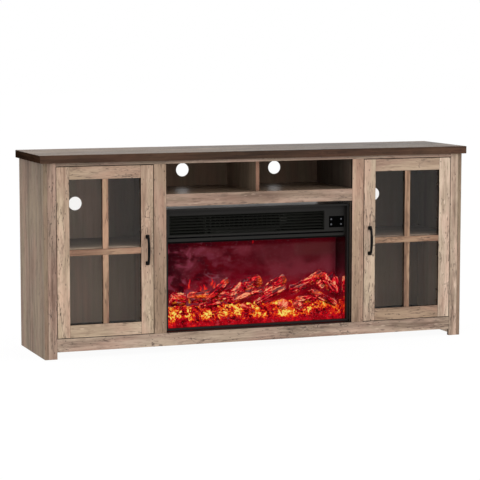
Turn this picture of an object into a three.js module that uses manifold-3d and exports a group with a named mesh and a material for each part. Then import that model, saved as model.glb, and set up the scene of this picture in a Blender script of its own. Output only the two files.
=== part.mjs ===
// Fireplace TV stand: a wide low cabinet with a glazed cupboard at each end, two open media bays
// over an electric fire insert in the middle, and a thick dark-edged top.
// Millimetres, +Z up, the front faces -Y. The origin is the centre of the footprint on the floor.
import * as THREE from "three";
import { mergeVertices } from "three/addons/utils/BufferGeometryUtils.js";
import Module from "manifold-3d";

// ---------------------------------------------------------------- driving dimensions
const GAP = 0.3; // paper gap between two pieces that touch

const TOP_W = 1778; // top board, along X
const TOP_FRONT = -14; // its front edge, ahead of the face frame's front plane at y = 0
const BACK = 370; // rear face of the cabinet
const TOP_Z0 = 745; // underside of the top board
const TOP_Z1 = 775; // its upper face
const SIDE_X = 874; // outer faces of the side panels
const BOARD = 15; // thickness of the carcass boards
const FRAME_T = 15; // thickness of the face frame members, along Y

const POST_IN = 825.2; // inner edge of the front posts
const STILE_OUT = 439.5; // outer edge of the inner stiles
const STILE_IN = 390; // inner edge of the inner stiles
const RAIL_Z0 = 27; // bottom front rail
const RAIL_Z1 = 77.2;
const TOPRAIL_Z0 = 732.5; // thin rail under the top board
const SHELFRAIL_Z0 = 567.3; // rail between the media bays and the fire
const MEDIA_Z = 615; // upper face of the media shelf
const DIVIDER_T = 14.5; // upright between the two media bays
const DIVIDER_Y = 38;
const GROOVE = 3; // depth of the grooves that hold the partitions and the divider

const BACKPANEL_T = 4;
const BACKPANEL_Y = 364;
const CABLE_R = 27; // cable holes in the back panels
const CABLE_SIDE = { x: 650, z: 557 };
const CABLE_MEDIA = { x: 200, z: 680 };

const SHELF_Z1 = 418; // adjustable shelf behind each glazed door
const SHELF_Y = [32, 356];

const DOOR_T = 18;
const DOOR_OUT = 823.2; // hinge edge
const DOOR_IN = 442; // latch edge
const DOOR_Z = [79.5, 729.5];
const DOOR_STILE = 49;
const DOOR_RAIL = 48;
const GLASS_REBATE = 8;
const MUNTIN_W = 23.5;
const MUNTIN_Y = 0.6; // set back a little from the door's face
const MUNTIN_Z = [391.5, 415.5];
const HINGE_AXIS = 825.2; // vertical door axis at the outer front corner, y = 0
const HINGE_Z = [162, 647];
const CUP_IN = 20.5; // cup centre from the door's hinge edge
const CUP_R = 17.3;
const LINK_R = [30.5, 33.5]; // curved hinge link, centred on the door axis
const LINK_ANGLE = [38, 147];

const PULL_X = 466.5; // bow pull
const PULL_Z = [353, 455];
const PULL_OUT = 22; // centre of the bar from the door's face
const PULL_R = [3.6, 5]; // near the feet, at the middle
const PULL_FOOT_R = 7.25;

const FIRE_FRONT = 20; // front of the insert's border, set back from the face frame
const FIRE_X = 384.5;
const FIRE_Z = [77.5, 553.6]; // underside of the case, top of the border
const BORDER_Z0 = 81.6;
const BORDER_W = 7.7;
const PLATE_Y = [38, 42.8]; // plate over the glass, recessed in the border
const LIP = { y: 40.5, z0: 419, z1: 425.6 }; // its lower edge, set back again
const SLOT = { x: 371, z0: 437.1, z1: 442.9 }; // air intake
const VENT = { x0: -365, x1: 285.7, z0: 450.2, z1: 526.8 };
const PANEL = { x0: 305.8, x1: 371.3, z0: 458.6, z1: 504.1 };
const PANEL_Y = 39.2;
const BUTTON_Y = 37.7;
const BUTTON_R = 3.75;
const BUTTONS = [
  [315.8, 491.6],
  [358.4, 491.6],
  [315.8, 471],
  [358.4, 471],
];
const CASE_X = 380;
const CASE_Y = 205;
const CASE_Z1 = 550;
const SHEET = 1.5;
const DECK_Z = [434, 436]; // sheet between the firebox and the heater bay
const SCREEN_Y = 135; // flame screen
const ROTOR = { y: 170, z: 112, x0: -338, x1: 309 };
const BLOWER = { y: 132, z: 490, x0: -205, x1: 121 };

const Y_CENTRE = (BACK - (PULL_OUT + PULL_R[1])) / 2; // middle of the whole depth, pulls included

// ---------------------------------------------------------------- finishes
const finish = (color, roughness, metalness = 0, extra = {}) => () =>
  new THREE.MeshStandardMaterial({ color, roughness, metalness, ...extra });
const frameWood = finish(0x94826f, 0.62);
const postWood = finish(0x8d7d6c, 0.62);
const sideWood = finish(0x857768, 0.64);
const railWood = finish(0xa08c79, 0.62);
const doorWood = finish(0xb99d80, 0.6);
const muntinWood = finish(0xb8906f, 0.6);
const topWood = finish(0x5b463b, 0.5);
const innerWood = finish(0x4a4038, 0.7);
const backBoard = finish(0x3a322c, 0.75);
const steel = finish(0xa8a9ab, 0.35, 0.9);
const blackMetal = finish(0x161616, 0.42, 0.5);
const blackPaint = finish(0x141415, 0.5, 0.3);
const darkSheet = finish(0x202022, 0.6, 0.4);
const clearGlass = finish(0xdfe6e6, 0.05, 0, { transparent: true, opacity: 0.25 });
const smokedGlass = finish(0x3a2f30, 0.05, 0, { transparent: true, opacity: 0.35 });
const buttonPlastic = finish(0x1d1d1f, 0.4);
const panelPlastic = finish(0x101011, 0.35);
const logResin = finish(0x7a5a4a, 0.85);
const emberResin = finish(0xa8402a, 0.8);
const screenPlastic = finish(0x5a1720, 0.3);
const fanPlastic = finish(0x17171a, 0.5);

// ---------------------------------------------------------------- solids
const wasm = await Module();
wasm.setup();

// A closed three.js geometry as a manifold solid, without its zero-area triangles.
function solid(geometry) {
  const bare = geometry.index ? geometry.toNonIndexed() : geometry.clone();
  bare.deleteAttribute("normal");
  bare.deleteAttribute("uv");
  const merged = mergeVertices(bare, 1e-4);
  const index = [];
  const src = merged.index.array;
  for (let i = 0; i < src.length; i += 3) {
    const [a, b, c] = [src[i], src[i + 1], src[i + 2]];
    if (a !== b && b !== c && c !== a) index.push(a, b, c);
  }
  return new wasm.Manifold(
    new wasm.Mesh({
      numProp: 3,
      vertProperties: new Float32Array(merged.attributes.position.array),
      triVerts: new Uint32Array(index),
    }),
  );
}

function geometryOf(made) {
  const mesh = made.getMesh();
  const g = new THREE.BufferGeometry();
  g.setAttribute("position", new THREE.BufferAttribute(new Float32Array(mesh.vertProperties), 3));
  g.setIndex(new THREE.BufferAttribute(new Uint32Array(mesh.triVerts), 1));
  g.computeVertexNormals();
  return g;
}

const box = ([x0, x1], [y0, y1], [z0, z1]) =>
  new THREE.BoxGeometry(Math.abs(x1 - x0), Math.abs(y1 - y0), Math.abs(z1 - z0)).translate(
    (x0 + x1) / 2,
    (y0 + y1) / 2,
    (z0 + z1) / 2,
  );

// Cylinders lying along one axis, with their middle at (x, y, z).
const alongX = (r, [x0, x1], y, z, n = 20) =>
  new THREE.CylinderGeometry(r, r, x1 - x0, n).rotateZ(Math.PI / 2).translate((x0 + x1) / 2, y, z);
const alongY = (r, [y0, y1], x, z, n = 20) =>
  new THREE.CylinderGeometry(r, r, y1 - y0, n).translate(x, (y0 + y1) / 2, z);

// An outline of [a, b] points in the YZ plane, carried along X from x0 to x1.
function prismX(points, x0, x1) {
  const shape = new THREE.Shape(points.map(([y, z]) => new THREE.Vector2(y, z)));
  const g = new THREE.ExtrudeGeometry(shape, { depth: x1 - x0, bevelEnabled: false });
  // The extrusion runs along +Z with the outline in XY: turn it to YZ along X.
  const turn = new THREE.Matrix4().set(0, 0, 1, x0, 1, 0, 0, 0, 0, 1, 0, 0, 0, 0, 0, 1);
  return g.applyMatrix4(turn);
}
// An outline of [x, y] points carried along Z from z0 to z1.
function prismZ(points, z0, z1) {
  const shape = new THREE.Shape(points.map(([x, y]) => new THREE.Vector2(x, y)));
  return new THREE.ExtrudeGeometry(shape, { depth: z1 - z0, bevelEnabled: false }).translate(0, 0, z0);
}

const join = (...geometries) =>
  geometries.map(solid).reduce((a, b) => a.add(b));
const cut = (made, ...geometries) =>
  geometries.reduce((a, g) => a.subtract(solid(g)), made);

function place(group, name, geometry, material) {
  const mesh = new THREE.Mesh(geometry, material());
  mesh.name = name;
  group.add(mesh);
  return mesh;
}
// A plain board from its limits, its geometry centred on its own middle.
function board(group, name, material, xs, ys, zs) {
  const [x0, x1] = [Math.min(...xs), Math.max(...xs)];
  const mesh = place(
    group,
    name,
    new THREE.BoxGeometry(x1 - x0, ys[1] - ys[0], zs[1] - zs[0]),
    material,
  );
  mesh.position.set((x0 + x1) / 2, (ys[0] + ys[1]) / 2, (zs[0] + zs[1]) / 2);
  return mesh;
}

const stand = new THREE.Group();
const cabinet = new THREE.Group();
cabinet.position.set(0, -Y_CENTRE, 0);
stand.add(cabinet);

// ---------------------------------------------------------------- carcass
board(cabinet, "top_board", topWood, [-TOP_W / 2, TOP_W / 2], [TOP_FRONT, BACK], [TOP_Z0, TOP_Z1]);

const SIDE_IN = SIDE_X - BOARD; // inner faces of the side panels
const UNDER_TOP = TOP_Z0 - GAP;
const FRAME_BACK = FRAME_T + GAP; // where boards behind the face frame begin
const PANEL_FRONT = BACKPANEL_Y - GAP; // where boards ahead of the back panels end
for (const [side, s] of [
  ["left", -1],
  ["right", 1],
]) {
  board(cabinet, side + "_side_panel", sideWood, [s * SIDE_IN, s * SIDE_X], [0, BACK], [0, UNDER_TOP]);
  board(cabinet, side + "_front_post", postWood, [s * POST_IN, s * (SIDE_IN - GAP)], [0, FRAME_T], [0, UNDER_TOP]);
  board(cabinet, side + "_inner_stile", frameWood, [s * STILE_IN, s * STILE_OUT], [0, FRAME_T], [RAIL_Z1 + GAP, TOPRAIL_Z0 - GAP]);
  board(cabinet, side + "_partition", innerWood, [s * STILE_IN, s * (STILE_IN + BOARD)], [FRAME_BACK, PANEL_FRONT], [RAIL_Z1 - GROOVE + GAP, UNDER_TOP]);
  board(cabinet, side + "_shelf", innerWood, [s * (STILE_IN + BOARD + 0.5), s * (SIDE_IN - 0.5)], SHELF_Y, [SHELF_Z1 - BOARD, SHELF_Z1]);

  const back = cut(
    solid(box([s * (STILE_IN + BOARD / 2 + 0.2), s * (SIDE_IN - GAP)], [BACKPANEL_Y, BACKPANEL_Y + BACKPANEL_T], [RAIL_Z1 - BOARD, UNDER_TOP])),
    alongY(CABLE_R, [BACKPANEL_Y - 2, BACKPANEL_Y + BACKPANEL_T + 2], s * CABLE_SIDE.x, CABLE_SIDE.z, 32),
  );
  place(cabinet, side + "_back_panel", geometryOf(back), backBoard);
}
board(cabinet, "top_front_rail", frameWood, [-POST_IN + GAP, POST_IN - GAP], [0, FRAME_T], [TOPRAIL_Z0, UNDER_TOP]);
board(cabinet, "shelf_front_rail", railWood, [-STILE_IN + GAP, STILE_IN - GAP], [0, FRAME_T], [SHELFRAIL_Z0, MEDIA_Z]);
board(cabinet, "bottom_front_rail", railWood, [-POST_IN + GAP, POST_IN - GAP], [0, FRAME_T], [RAIL_Z0, RAIL_Z1]);
{
  // The partitions stand in grooves across the bottom board, the divider in one that stops short of the front.
  const bottom = cut(
    solid(box([-SIDE_IN + GAP, SIDE_IN - GAP], [FRAME_BACK, PANEL_FRONT], [RAIL_Z1 - BOARD, RAIL_Z1])),
    ...[-1, 1].map((s) => box([s * (STILE_IN - GAP), s * (STILE_IN + BOARD + GAP)], [FRAME_BACK - 1, PANEL_FRONT + 1], [RAIL_Z1 - GROOVE, RAIL_Z1 + 1])),
  );
  place(cabinet, "bottom_board", geometryOf(bottom), innerWood);
  const shelf = cut(
    solid(box([-STILE_IN + GAP, STILE_IN - GAP], [FRAME_BACK, PANEL_FRONT], [MEDIA_Z - BOARD, MEDIA_Z])),
    box([-DIVIDER_T / 2 - GAP, DIVIDER_T / 2 + GAP], [DIVIDER_Y - GAP, PANEL_FRONT + 1], [MEDIA_Z - GROOVE, MEDIA_Z + 1]),
  );
  place(cabinet, "media_shelf", geometryOf(shelf), innerWood);
}
board(cabinet, "media_divider", railWood, [-DIVIDER_T / 2, DIVIDER_T / 2], [DIVIDER_Y, PANEL_FRONT], [MEDIA_Z - GROOVE + GAP, UNDER_TOP]);
{
  const x = STILE_IN + BOARD / 2 - 0.2;
  const back = cut(
    solid(box([-x, x], [BACKPANEL_Y, BACKPANEL_Y + BACKPANEL_T], [MEDIA_Z - 22, UNDER_TOP])),
    ...[-1, 1].map((s) => alongY(CABLE_R, [BACKPANEL_Y - 2, BACKPANEL_Y + BACKPANEL_T + 2], s * CABLE_MEDIA.x, CABLE_MEDIA.z, 32)),
  );
  place(cabinet, "upper_back_panel", geometryOf(back), backBoard);
}

// ---------------------------------------------------------------- glazed doors, each in a group on its hinge axis
for (const [side, s] of [
  ["left", -1],
  ["right", 1],
]) {
  const door = new THREE.Group();
  door.position.set(s * HINGE_AXIS, 0, 0);
  cabinet.add(door);
  const u = (x) => s * (x - HINGE_AXIS); // distance from the middle of the stand to this group's x
  const span = (a, b) => [Math.min(u(a), u(b)), Math.max(u(a), u(b))];
  const openX = [DOOR_IN + DOOR_STILE, DOOR_OUT - DOOR_STILE]; // glass opening
  const openZ = [DOOR_Z[0] + DOOR_RAIL, DOOR_Z[1] - DOOR_RAIL];
  const rebateZ = [openZ[0] - GLASS_REBATE, openZ[1] + GLASS_REBATE];
  const half = DOOR_T / 2;

  const hingeStile = cut(
    solid(box(span(openX[1], DOOR_OUT), [0, DOOR_T], DOOR_Z)),
    box(span(openX[1] - 1, openX[1] + GLASS_REBATE), [half, DOOR_T + 1], rebateZ),
    ...HINGE_Z.map((z) => alongY(CUP_R + 0.4, [DOOR_T - 11.5, DOOR_T + 1], u(DOOR_OUT - CUP_IN), z, 28)),
  );
  place(door, side + "_door_hinge_stile", geometryOf(hingeStile), doorWood);
  const latchStile = cut(
    solid(box(span(DOOR_IN, openX[0]), [0, DOOR_T], DOOR_Z)),
    box(span(openX[0] - GLASS_REBATE, openX[0] + 1), [half, DOOR_T + 1], rebateZ),
  );
  place(door, side + "_door_latch_stile", geometryOf(latchStile), doorWood);
  const railX = span(openX[0] + GAP, openX[1] - GAP);
  const wideX = [railX[0] - 1, railX[1] + 1];
  place(
    door,
    side + "_door_top_rail",
    geometryOf(cut(solid(box(railX, [0, DOOR_T], [openZ[1], DOOR_Z[1]])), box(wideX, [half, DOOR_T + 1], [openZ[1] - 1, rebateZ[1]]))),
    doorWood,
  );
  place(
    door,
    side + "_door_bottom_rail",
    geometryOf(cut(solid(box(railX, [0, DOOR_T], [DOOR_Z[0], openZ[0]])), box(wideX, [half, DOOR_T + 1], [rebateZ[0], openZ[0] + 1]))),
    doorWood,
  );
  const mid = (openX[0] + openX[1]) / 2;
  place(
    door,
    side + "_door_muntins",
    geometryOf(
      join(
        box(span(mid - MUNTIN_W / 2, mid + MUNTIN_W / 2), [MUNTIN_Y, half], [openZ[0] + GAP, openZ[1] - GAP]),
        box(railX, [MUNTIN_Y, half], MUNTIN_Z),
      ),
    ),
    muntinWood,
  );
  const pane = place(
    door,
    side + "_door_glass",
    new THREE.BoxGeometry(openX[1] - openX[0] + 2 * GLASS_REBATE - 1, 3, rebateZ[1] - rebateZ[0] - 1),
    clearGlass,
  );
  pane.position.set(u(mid), half + GAP + 1.5, (rebateZ[0] + rebateZ[1]) / 2);

  // Bow pull: a swelling bar bent out at its middle, on two round feet.
  const midZ = (PULL_Z[0] + PULL_Z[1]) / 2;
  const reach = (PULL_Z[1] - PULL_Z[0]) / 2;
  const bow = (z) => -PULL_OUT + 5.5 * ((z - midZ) / reach) ** 2;
  const profile = [new THREE.Vector2(0, -reach - 4)];
  for (let i = 0; i <= 20; i++) {
    const t = -1 + i / 10;
    profile.push(new THREE.Vector2(PULL_R[0] + (PULL_R[1] - PULL_R[0]) * Math.cos((t * Math.PI) / 2) ** 2, t * reach));
  }
  profile.push(new THREE.Vector2(0, reach + 4));
  const bar = new THREE.LatheGeometry(profile, 12).rotateX(Math.PI / 2);
  const p = bar.getAttribute("position");
  for (let i = 0; i < p.count; i++) {
    const z = p.getZ(i) + midZ;
    p.setXYZ(i, p.getX(i), p.getY(i) + bow(z), z);
  }
  const pull = join(
    bar,
    ...PULL_Z.flatMap((z) => [
      alongY(PULL_R[0] + 0.4, [bow(z) - 1, -1], 0, z, 14),
      alongY(PULL_FOOT_R, [-3.2, -GAP], 0, z, 20),
    ]),
  );
  place(door, side + "_door_pull", geometryOf(pull), blackMetal).position.set(u(PULL_X), 0, 0);

  // Concealed hinges: a cup with its curved link on the door, a plate with two cheeks on the side panel.
  HINGE_Z.forEach((z, i) => {
    const level = i ? "upper" : "lower";
    const cx = u(DOOR_OUT - CUP_IN);
    const arc = [];
    const steps = 14;
    const polar = (r, deg) => {
      const a = (deg * Math.PI) / 180;
      return [-s * r * Math.cos(a), r * Math.sin(a)];
    };
    for (let k = 0; k <= steps; k++) arc.push(polar(LINK_R[1], LINK_ANGLE[0] + ((LINK_ANGLE[1] - LINK_ANGLE[0]) * k) / steps));
    for (let k = steps; k >= 0; k--) arc.push(polar(LINK_R[0], LINK_ANGLE[0] + ((LINK_ANGLE[1] - LINK_ANGLE[0]) * k) / steps));
    const cup = join(
      alongY(CUP_R, [DOOR_T - 11, DOOR_T + 0.6], cx, z, 28),
      box([cx - 10, cx + 10], [DOOR_T + GAP, DOOR_T + GAP + 1.5], [z - 24, z + 24]),
      prismZ(arc, z - 6, z + 6),
      box([Math.min(cx, cx - 5), Math.max(cx, cx + 5)], [DOOR_T + 1, DOOR_T + 5], [z - 6, z + 6]),
    );
    place(door, `${side}_${level}_hinge_cup`, geometryOf(cup), steel);

    const wall = SIDE_IN - GAP;
    const m = (x) => s * x;
    const cheek = [
      [m(wall - 1), 22],
      [m(wall - 1), 62],
      [m(wall - 30), 62],
      [m(808), 40],
      [m(808), 22],
    ];
    const plate = join(
      box([m(wall - 2.6), m(wall)], [20, 84], [z - 22, z + 22]),
      prismZ(cheek, z + 7.2, z + 9.2),
      prismZ(cheek, z - 9.2, z - 7.2),
      box([m(wall - 28), m(wall - 1)], [44, 61], [z - 8, z + 8]),
    );
    place(cabinet, `${side}_${level}_hinge_plate`, geometryOf(plate), steel);
  });
}

// ---------------------------------------------------------------- electric fire insert
const CASE_FRONT = PLATE_Y[1] + GAP;
{
  const inX = FIRE_X - BORDER_W;
  const wideY = [FIRE_FRONT - 1, PLATE_Y[1] + 1];
  const border = cut(
    solid(box([-FIRE_X, FIRE_X], [FIRE_FRONT, PLATE_Y[0] + 0.4], [BORDER_Z0, FIRE_Z[1]])),
    box([-inX, inX], wideY, [BORDER_Z0 + BORDER_W, FIRE_Z[1] - BORDER_W]),
  );
  const plate = cut(
    solid(box([-FIRE_X, FIRE_X], PLATE_Y, [LIP.z0, FIRE_Z[1]])),
    box([-inX, inX], [PLATE_Y[0] - 1, LIP.y], [LIP.z0 - 1, LIP.z1]),
    box([-SLOT.x, SLOT.x], wideY, [SLOT.z0, SLOT.z1]),
    box([VENT.x0, VENT.x1], wideY, [VENT.z0, VENT.z1]),
    box([PANEL.x0, PANEL.x1], wideY, [PANEL.z0, PANEL.z1]),
  );
  place(cabinet, "insert_front_frame", geometryOf(border.add(plate)), blackPaint);
}
{
  const inX = CASE_X - SHEET;
  const inner = [CASE_FRONT - 1, CASE_Y - SHEET];
  const slots = [];
  for (let i = 0; i < 6; i++)
    for (const z of [462, 484, 506]) slots.push(box([-170 + i * 50, -134 + i * 50], [CASE_Y - 3, CASE_Y + 1], [z, z + 7]));
  let shell = cut(
    solid(box([-CASE_X, CASE_X], [CASE_FRONT, CASE_Y], [FIRE_Z[0], CASE_Z1])),
    box([-inX, inX], inner, [FIRE_Z[0] + SHEET, DECK_Z[0]]),
    box([-inX, inX], inner, [DECK_Z[1], CASE_Z1 - SHEET]),
    ...slots,
  );
  // Bearing tab for the free end of the flame rotor.
  const tab = cut(solid(box([-334, -331], [ROTOR.y - 12, ROTOR.y + 12], [FIRE_Z[0] + 0.5, ROTOR.z + 12])), alongX(3.8, [-336, -329], ROTOR.y, ROTOR.z, 16));
  shell = shell.add(tab);
  place(cabinet, "insert_case", geometryOf(shell), darkSheet);
}
{
  const plateX = [VENT.x0 - 6, VENT.x1 + 6];
  const grille = cut(
    solid(box(plateX, [CASE_FRONT, CASE_FRONT + 1.8], [VENT.z0 - 6, VENT.z1 + 6])),
    box([VENT.x0 + 3, VENT.x1 - 3], [CASE_FRONT - 1, CASE_FRONT + 3], [VENT.z0 + 3, VENT.z1 - 3]),
  );
  let made = grille;
  for (let i = 0; i < 6; i++) {
    const z = VENT.z0 + 9 + i * 11.5;
    const slat = prismX(
      [
        [CASE_FRONT + 0.4, z],
        [CASE_FRONT + 12, z + 5],
        [CASE_FRONT + 12, z + 6.4],
        [CASE_FRONT + 0.4, z + 1.4],
      ],
      VENT.x0 + 1,
      VENT.x1 - 1,
    );
    made = made.add(solid(slat));
  }
  place(cabinet, "vent_grille", geometryOf(made), blackPaint);
}
{
  const front = join(
    box([PANEL.x0 + GAP, PANEL.x1 - GAP], [PANEL_Y, CASE_FRONT + 0.5], [PANEL.z0 + GAP, PANEL.z1 - GAP]),
    box([PANEL.x0 - 5, PANEL.x1 + 5], [CASE_FRONT, CASE_FRONT + 2], [PANEL.z0 - 5, PANEL.z1 + 5]),
  );
  const made = cut(front, ...BUTTONS.map(([x, z]) => alongY(BUTTON_R + 0.35, [PANEL_Y - 2, CASE_FRONT + 4], x, z, 20)));
  place(cabinet, "control_panel", geometryOf(made), panelPlastic);
}
["power_button", "flame_button", "heat_button", "timer_button"].forEach((name, i) => {
  const [x, z] = BUTTONS[i];
  const y0 = BUTTON_Y;
  const profile = [
    [0, y0],
    [BUTTON_R - 0.6, y0],
    [BUTTON_R, y0 + 0.6],
    [BUTTON_R, CASE_FRONT + 2.7],
    [BUTTON_R + 1.8, CASE_FRONT + 2.7],
    [BUTTON_R + 1.8, CASE_FRONT + 4.3],
    [0, CASE_FRONT + 4.3],
  ].map(([r, y]) => new THREE.Vector2(r, y));
  const made = solid(new THREE.LatheGeometry(profile, 20));
  const mesh = place(cabinet, name, geometryOf(made), buttonPlastic);
  mesh.position.set(x, 0, z);
});
{
  const z0 = BORDER_Z0 + 2.6;
  const z1 = LIP.z0 - 0.4;
  const y0 = PLATE_Y[0] + 0.7;
  const y1 = CASE_FRONT - 0.6;
  const glass = place(cabinet, "insert_glass", new THREE.BoxGeometry(2 * 379, y1 - y0, z1 - z0), smokedGlass);
  glass.position.set(0, (y0 + y1) / 2, (z0 + z1) / 2);
}

// Ember bed: a mound that rises from the glass to the flame screen.
const bedProfile = [
  [44, FIRE_Z[0] + SHEET + GAP],
  [128, FIRE_Z[0] + SHEET + GAP],
  [128, 160],
  [104, 158],
  [80, 148],
  [62, 128],
  [50, 107],
  [44, 97],
];
const bed = solid(prismX(bedProfile, -368, 368));
place(cabinet, "ember_bed", geometryOf(bed), emberResin);

// Log set: one casting of crossed logs, [from], [to], radius.
const LOGS = [
  [[-343, 92, 200], [-88, 88, 195], 22],
  [[-344, 62, 216], [-284, 68, 186], 10],
  [[-198, 66, 194], [-108, 80, 267], 12],
  [[-98, 74, 206], [29, 84, 264], 21],
  [[-115, 62, 182], [30, 68, 221], 14],
  [[39, 78, 208], [134, 86, 263], 18],
  [[10, 64, 166], [130, 72, 226], 13],
  [[158, 72, 212], [294, 84, 275], 14],
  [[150, 62, 208], [216, 64, 227], 11],
  [[280, 88, 218], [350, 92, 263], 16],
  [[294, 78, 270], [336, 68, 198], 12],
  [[354, 90, 250], [356, 86, 188], 13],
  [[236, 66, 206], [350, 62, 148], 14],
  [[180, 66, 170], [272, 70, 178], 14],
  [[111.4, 66, 143.5], [134, 92, 158], 20],
  [[179.6, 68, 141.5], [201, 92, 154], 20],
];
{
  const up = new THREE.Vector3(0, 1, 0);
  const pieces = LOGS.map(([a, b, r]) => {
    const from = new THREE.Vector3(...a);
    const to = new THREE.Vector3(...b);
    const run = to.clone().sub(from);
    return new THREE.CylinderGeometry(r * 0.94, r, run.length(), 10)
      .applyQuaternion(new THREE.Quaternion().setFromUnitVectors(up, run.clone().normalize()))
      .translate((from.x + to.x) / 2, (from.y + to.y) / 2, (from.z + to.z) / 2);
  });
  // The casting's back rib, which rests on the bed and carries every log.
  const rib = prismX(
    [
      [86, 150],
      [112, 150],
      [112, 186],
      [98, 200],
      [86, 200],
    ],
    -346,
    362,
  );
  const keepOut = solid(prismX(bedProfile.map(([y, z]) => [y, z < 90 ? z : z + 0.4]), -380, 380));
  const logs = join(rib, ...pieces).subtract(keepOut);
  place(cabinet, "log_set", geometryOf(logs), logResin);
}
{
  const screen = place(cabinet, "flame_screen", new THREE.BoxGeometry(2 * (CASE_X - SHEET - 1), 3, DECK_Z[0] - FIRE_Z[0] - SHEET - 2 * GAP), screenPlastic);
  screen.position.set(0, SCREEN_Y + 1.5, (DECK_Z[0] + FIRE_Z[0] + SHEET) / 2);
}

// Flame rotor: a spindle with bent foils that throw moving light on the screen.
{
  const pieces = [alongX(3, [ROTOR.x0, ROTOR.x1], ROTOR.y, ROTOR.z, 12)];
  for (let i = 0; i < 11; i++)
    pieces.push(
      new THREE.BoxGeometry(44, 26, 1)
        .rotateX((i * 50 * Math.PI) / 180)
        .rotateY(0)
        .translate(-290 + i * 57, ROTOR.y, ROTOR.z),
    );
  place(cabinet, "flame_rotor", geometryOf(join(...pieces)), steel);
}
{
  const motor = cut(
    join(
      alongX(20, [304, 332], ROTOR.y, ROTOR.z, 20),
      box([308, 328], [ROTOR.y - 16, ROTOR.y + 16], [FIRE_Z[0] + SHEET + GAP, ROTOR.z]),
    ),
    alongX(4, [303, 311], ROTOR.y, ROTOR.z, 16),
  );
  place(cabinet, "flame_motor", geometryOf(motor), steel);
}

// Heater bay: finned element in front of a cross-flow blower.
{
  const floor = DECK_Z[1] + GAP;
  const pieces = [box([-190, 106], [58, 86], [464, 468]), box([-190, 106], [58, 86], [516, 520]), box([-190, -186], [58, 86], [floor, 520]), box([102, 106], [58, 86], [floor, 520])];
  for (let i = 1; i < 15; i++) pieces.push(box([-188 + i * 19.6, -186.6 + i * 19.6], [60, 84], [466, 518]));
  place(cabinet, "heater_element", geometryOf(join(...pieces)), darkSheet);
}
{
  const floor = DECK_Z[1] + GAP;
  const { y, z } = BLOWER;
  const housing = cut(
    join(box([-200, 118], [y - 40, y + 42], [floor, z + 46]), alongX(24, [117, 152], y, z, 24)),
    alongX(36, [-196, 114], y, z, 28),
    box([-196, 114], [y - 50, y], [z - 24, z + 30]),
    box([-196, 114], [y - 10, y + 32], [z + 20, z + 60]),
    alongX(4.2, [-202, -190], y, z, 16),
    alongX(4.2, [110, 123], y, z, 16),
  );
  place(cabinet, "blower_housing", geometryOf(housing), darkSheet);
  const wheel = [alongX(3, [BLOWER.x0, BLOWER.x1], y, z, 12), alongX(30, [-192, -190], y, z, 24), alongX(30, [108, 110], y, z, 24)];
  for (let i = 0; i < 14; i++)
    wheel.push(
      new THREE.BoxGeometry(299, 6, 1.2)
        .translate(0, 26, 0)
        .rotateX((i * 2 * Math.PI) / 14)
        .translate(-41, y, z),
    );
  place(cabinet, "blower_impeller", geometryOf(join(...wheel)), fanPlastic);
}
{
  const inlet = cut(
    solid(box([280, 330], [CASE_Y + GAP, CASE_Y + 16], [486, 514])),
    box([288, 322], [CASE_Y + 5, CASE_Y + 17], [492, 508]),
  );
  place(cabinet, "power_inlet", geometryOf(inlet), buttonPlastic);
}

export default stand;
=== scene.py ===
import math
import random

import bmesh
import bpy
from mathutils import Matrix, Vector, noise


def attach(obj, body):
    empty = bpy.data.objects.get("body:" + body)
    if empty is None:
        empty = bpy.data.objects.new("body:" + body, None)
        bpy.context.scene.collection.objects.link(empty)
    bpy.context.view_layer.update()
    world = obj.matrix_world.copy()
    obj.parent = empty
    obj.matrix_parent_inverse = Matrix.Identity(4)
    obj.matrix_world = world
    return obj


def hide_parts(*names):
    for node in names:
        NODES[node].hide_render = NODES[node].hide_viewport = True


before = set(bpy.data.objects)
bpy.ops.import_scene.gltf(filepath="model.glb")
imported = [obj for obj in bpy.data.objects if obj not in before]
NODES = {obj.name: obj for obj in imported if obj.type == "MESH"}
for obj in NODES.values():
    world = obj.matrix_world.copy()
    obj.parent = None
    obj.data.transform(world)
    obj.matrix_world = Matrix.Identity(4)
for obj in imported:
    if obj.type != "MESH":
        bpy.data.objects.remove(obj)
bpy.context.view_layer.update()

scene = bpy.context.scene
YC = 0.1715  # the face frame's front plane is at y = -YC


def F(x, y, z):
    """A point in millimetres from the face frame's front plane, as a row-frame point in metres."""
    return Vector((x / 1000, y / 1000 - YC, z / 1000))


# ------------------------------------------------------------------ camera, light, floor
cam_data = bpy.data.cameras.new("camera")
cam_data.sensor_width = 36.0
cam_data.lens = 139.77
cam = bpy.data.objects.new("camera", cam_data)
scene.collection.objects.link(cam)
yaw, pitch, roll = 0.3591267, 0.1103104, 0.0005682
fw = Vector((math.sin(yaw) * math.cos(pitch), math.cos(yaw) * math.cos(pitch), -math.sin(pitch)))
rt = Vector((math.cos(yaw), -math.sin(yaw), 0.0))
up = rt.cross(fw)
rt2 = rt * math.cos(roll) + up * math.sin(roll)
up2 = up * math.cos(roll) - rt * math.sin(roll)
cam.matrix_world = Matrix.Translation(F(-2626.83, -6763.78, 1227.72)) @ Matrix(
    ((rt2.x, up2.x, -fw.x), (rt2.y, up2.y, -fw.y), (rt2.z, up2.z, -fw.z))
).to_4x4()
cam_data.clip_start, cam_data.clip_end = 0.05, 100
scene.camera = cam

scene.view_settings.view_transform = "Standard"
scene.view_settings.look = "None"
scene.view_settings.exposure = 0.0
scene.view_settings.gamma = 1.0

world = bpy.data.worlds.new("studio")
scene.world = world
world.use_nodes = True
wn = world.node_tree
wn.nodes["Background"].inputs["Color"].default_value = (1.0, 1.0, 1.0, 1)
wn.nodes["Background"].inputs["Strength"].default_value = 1.0


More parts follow.
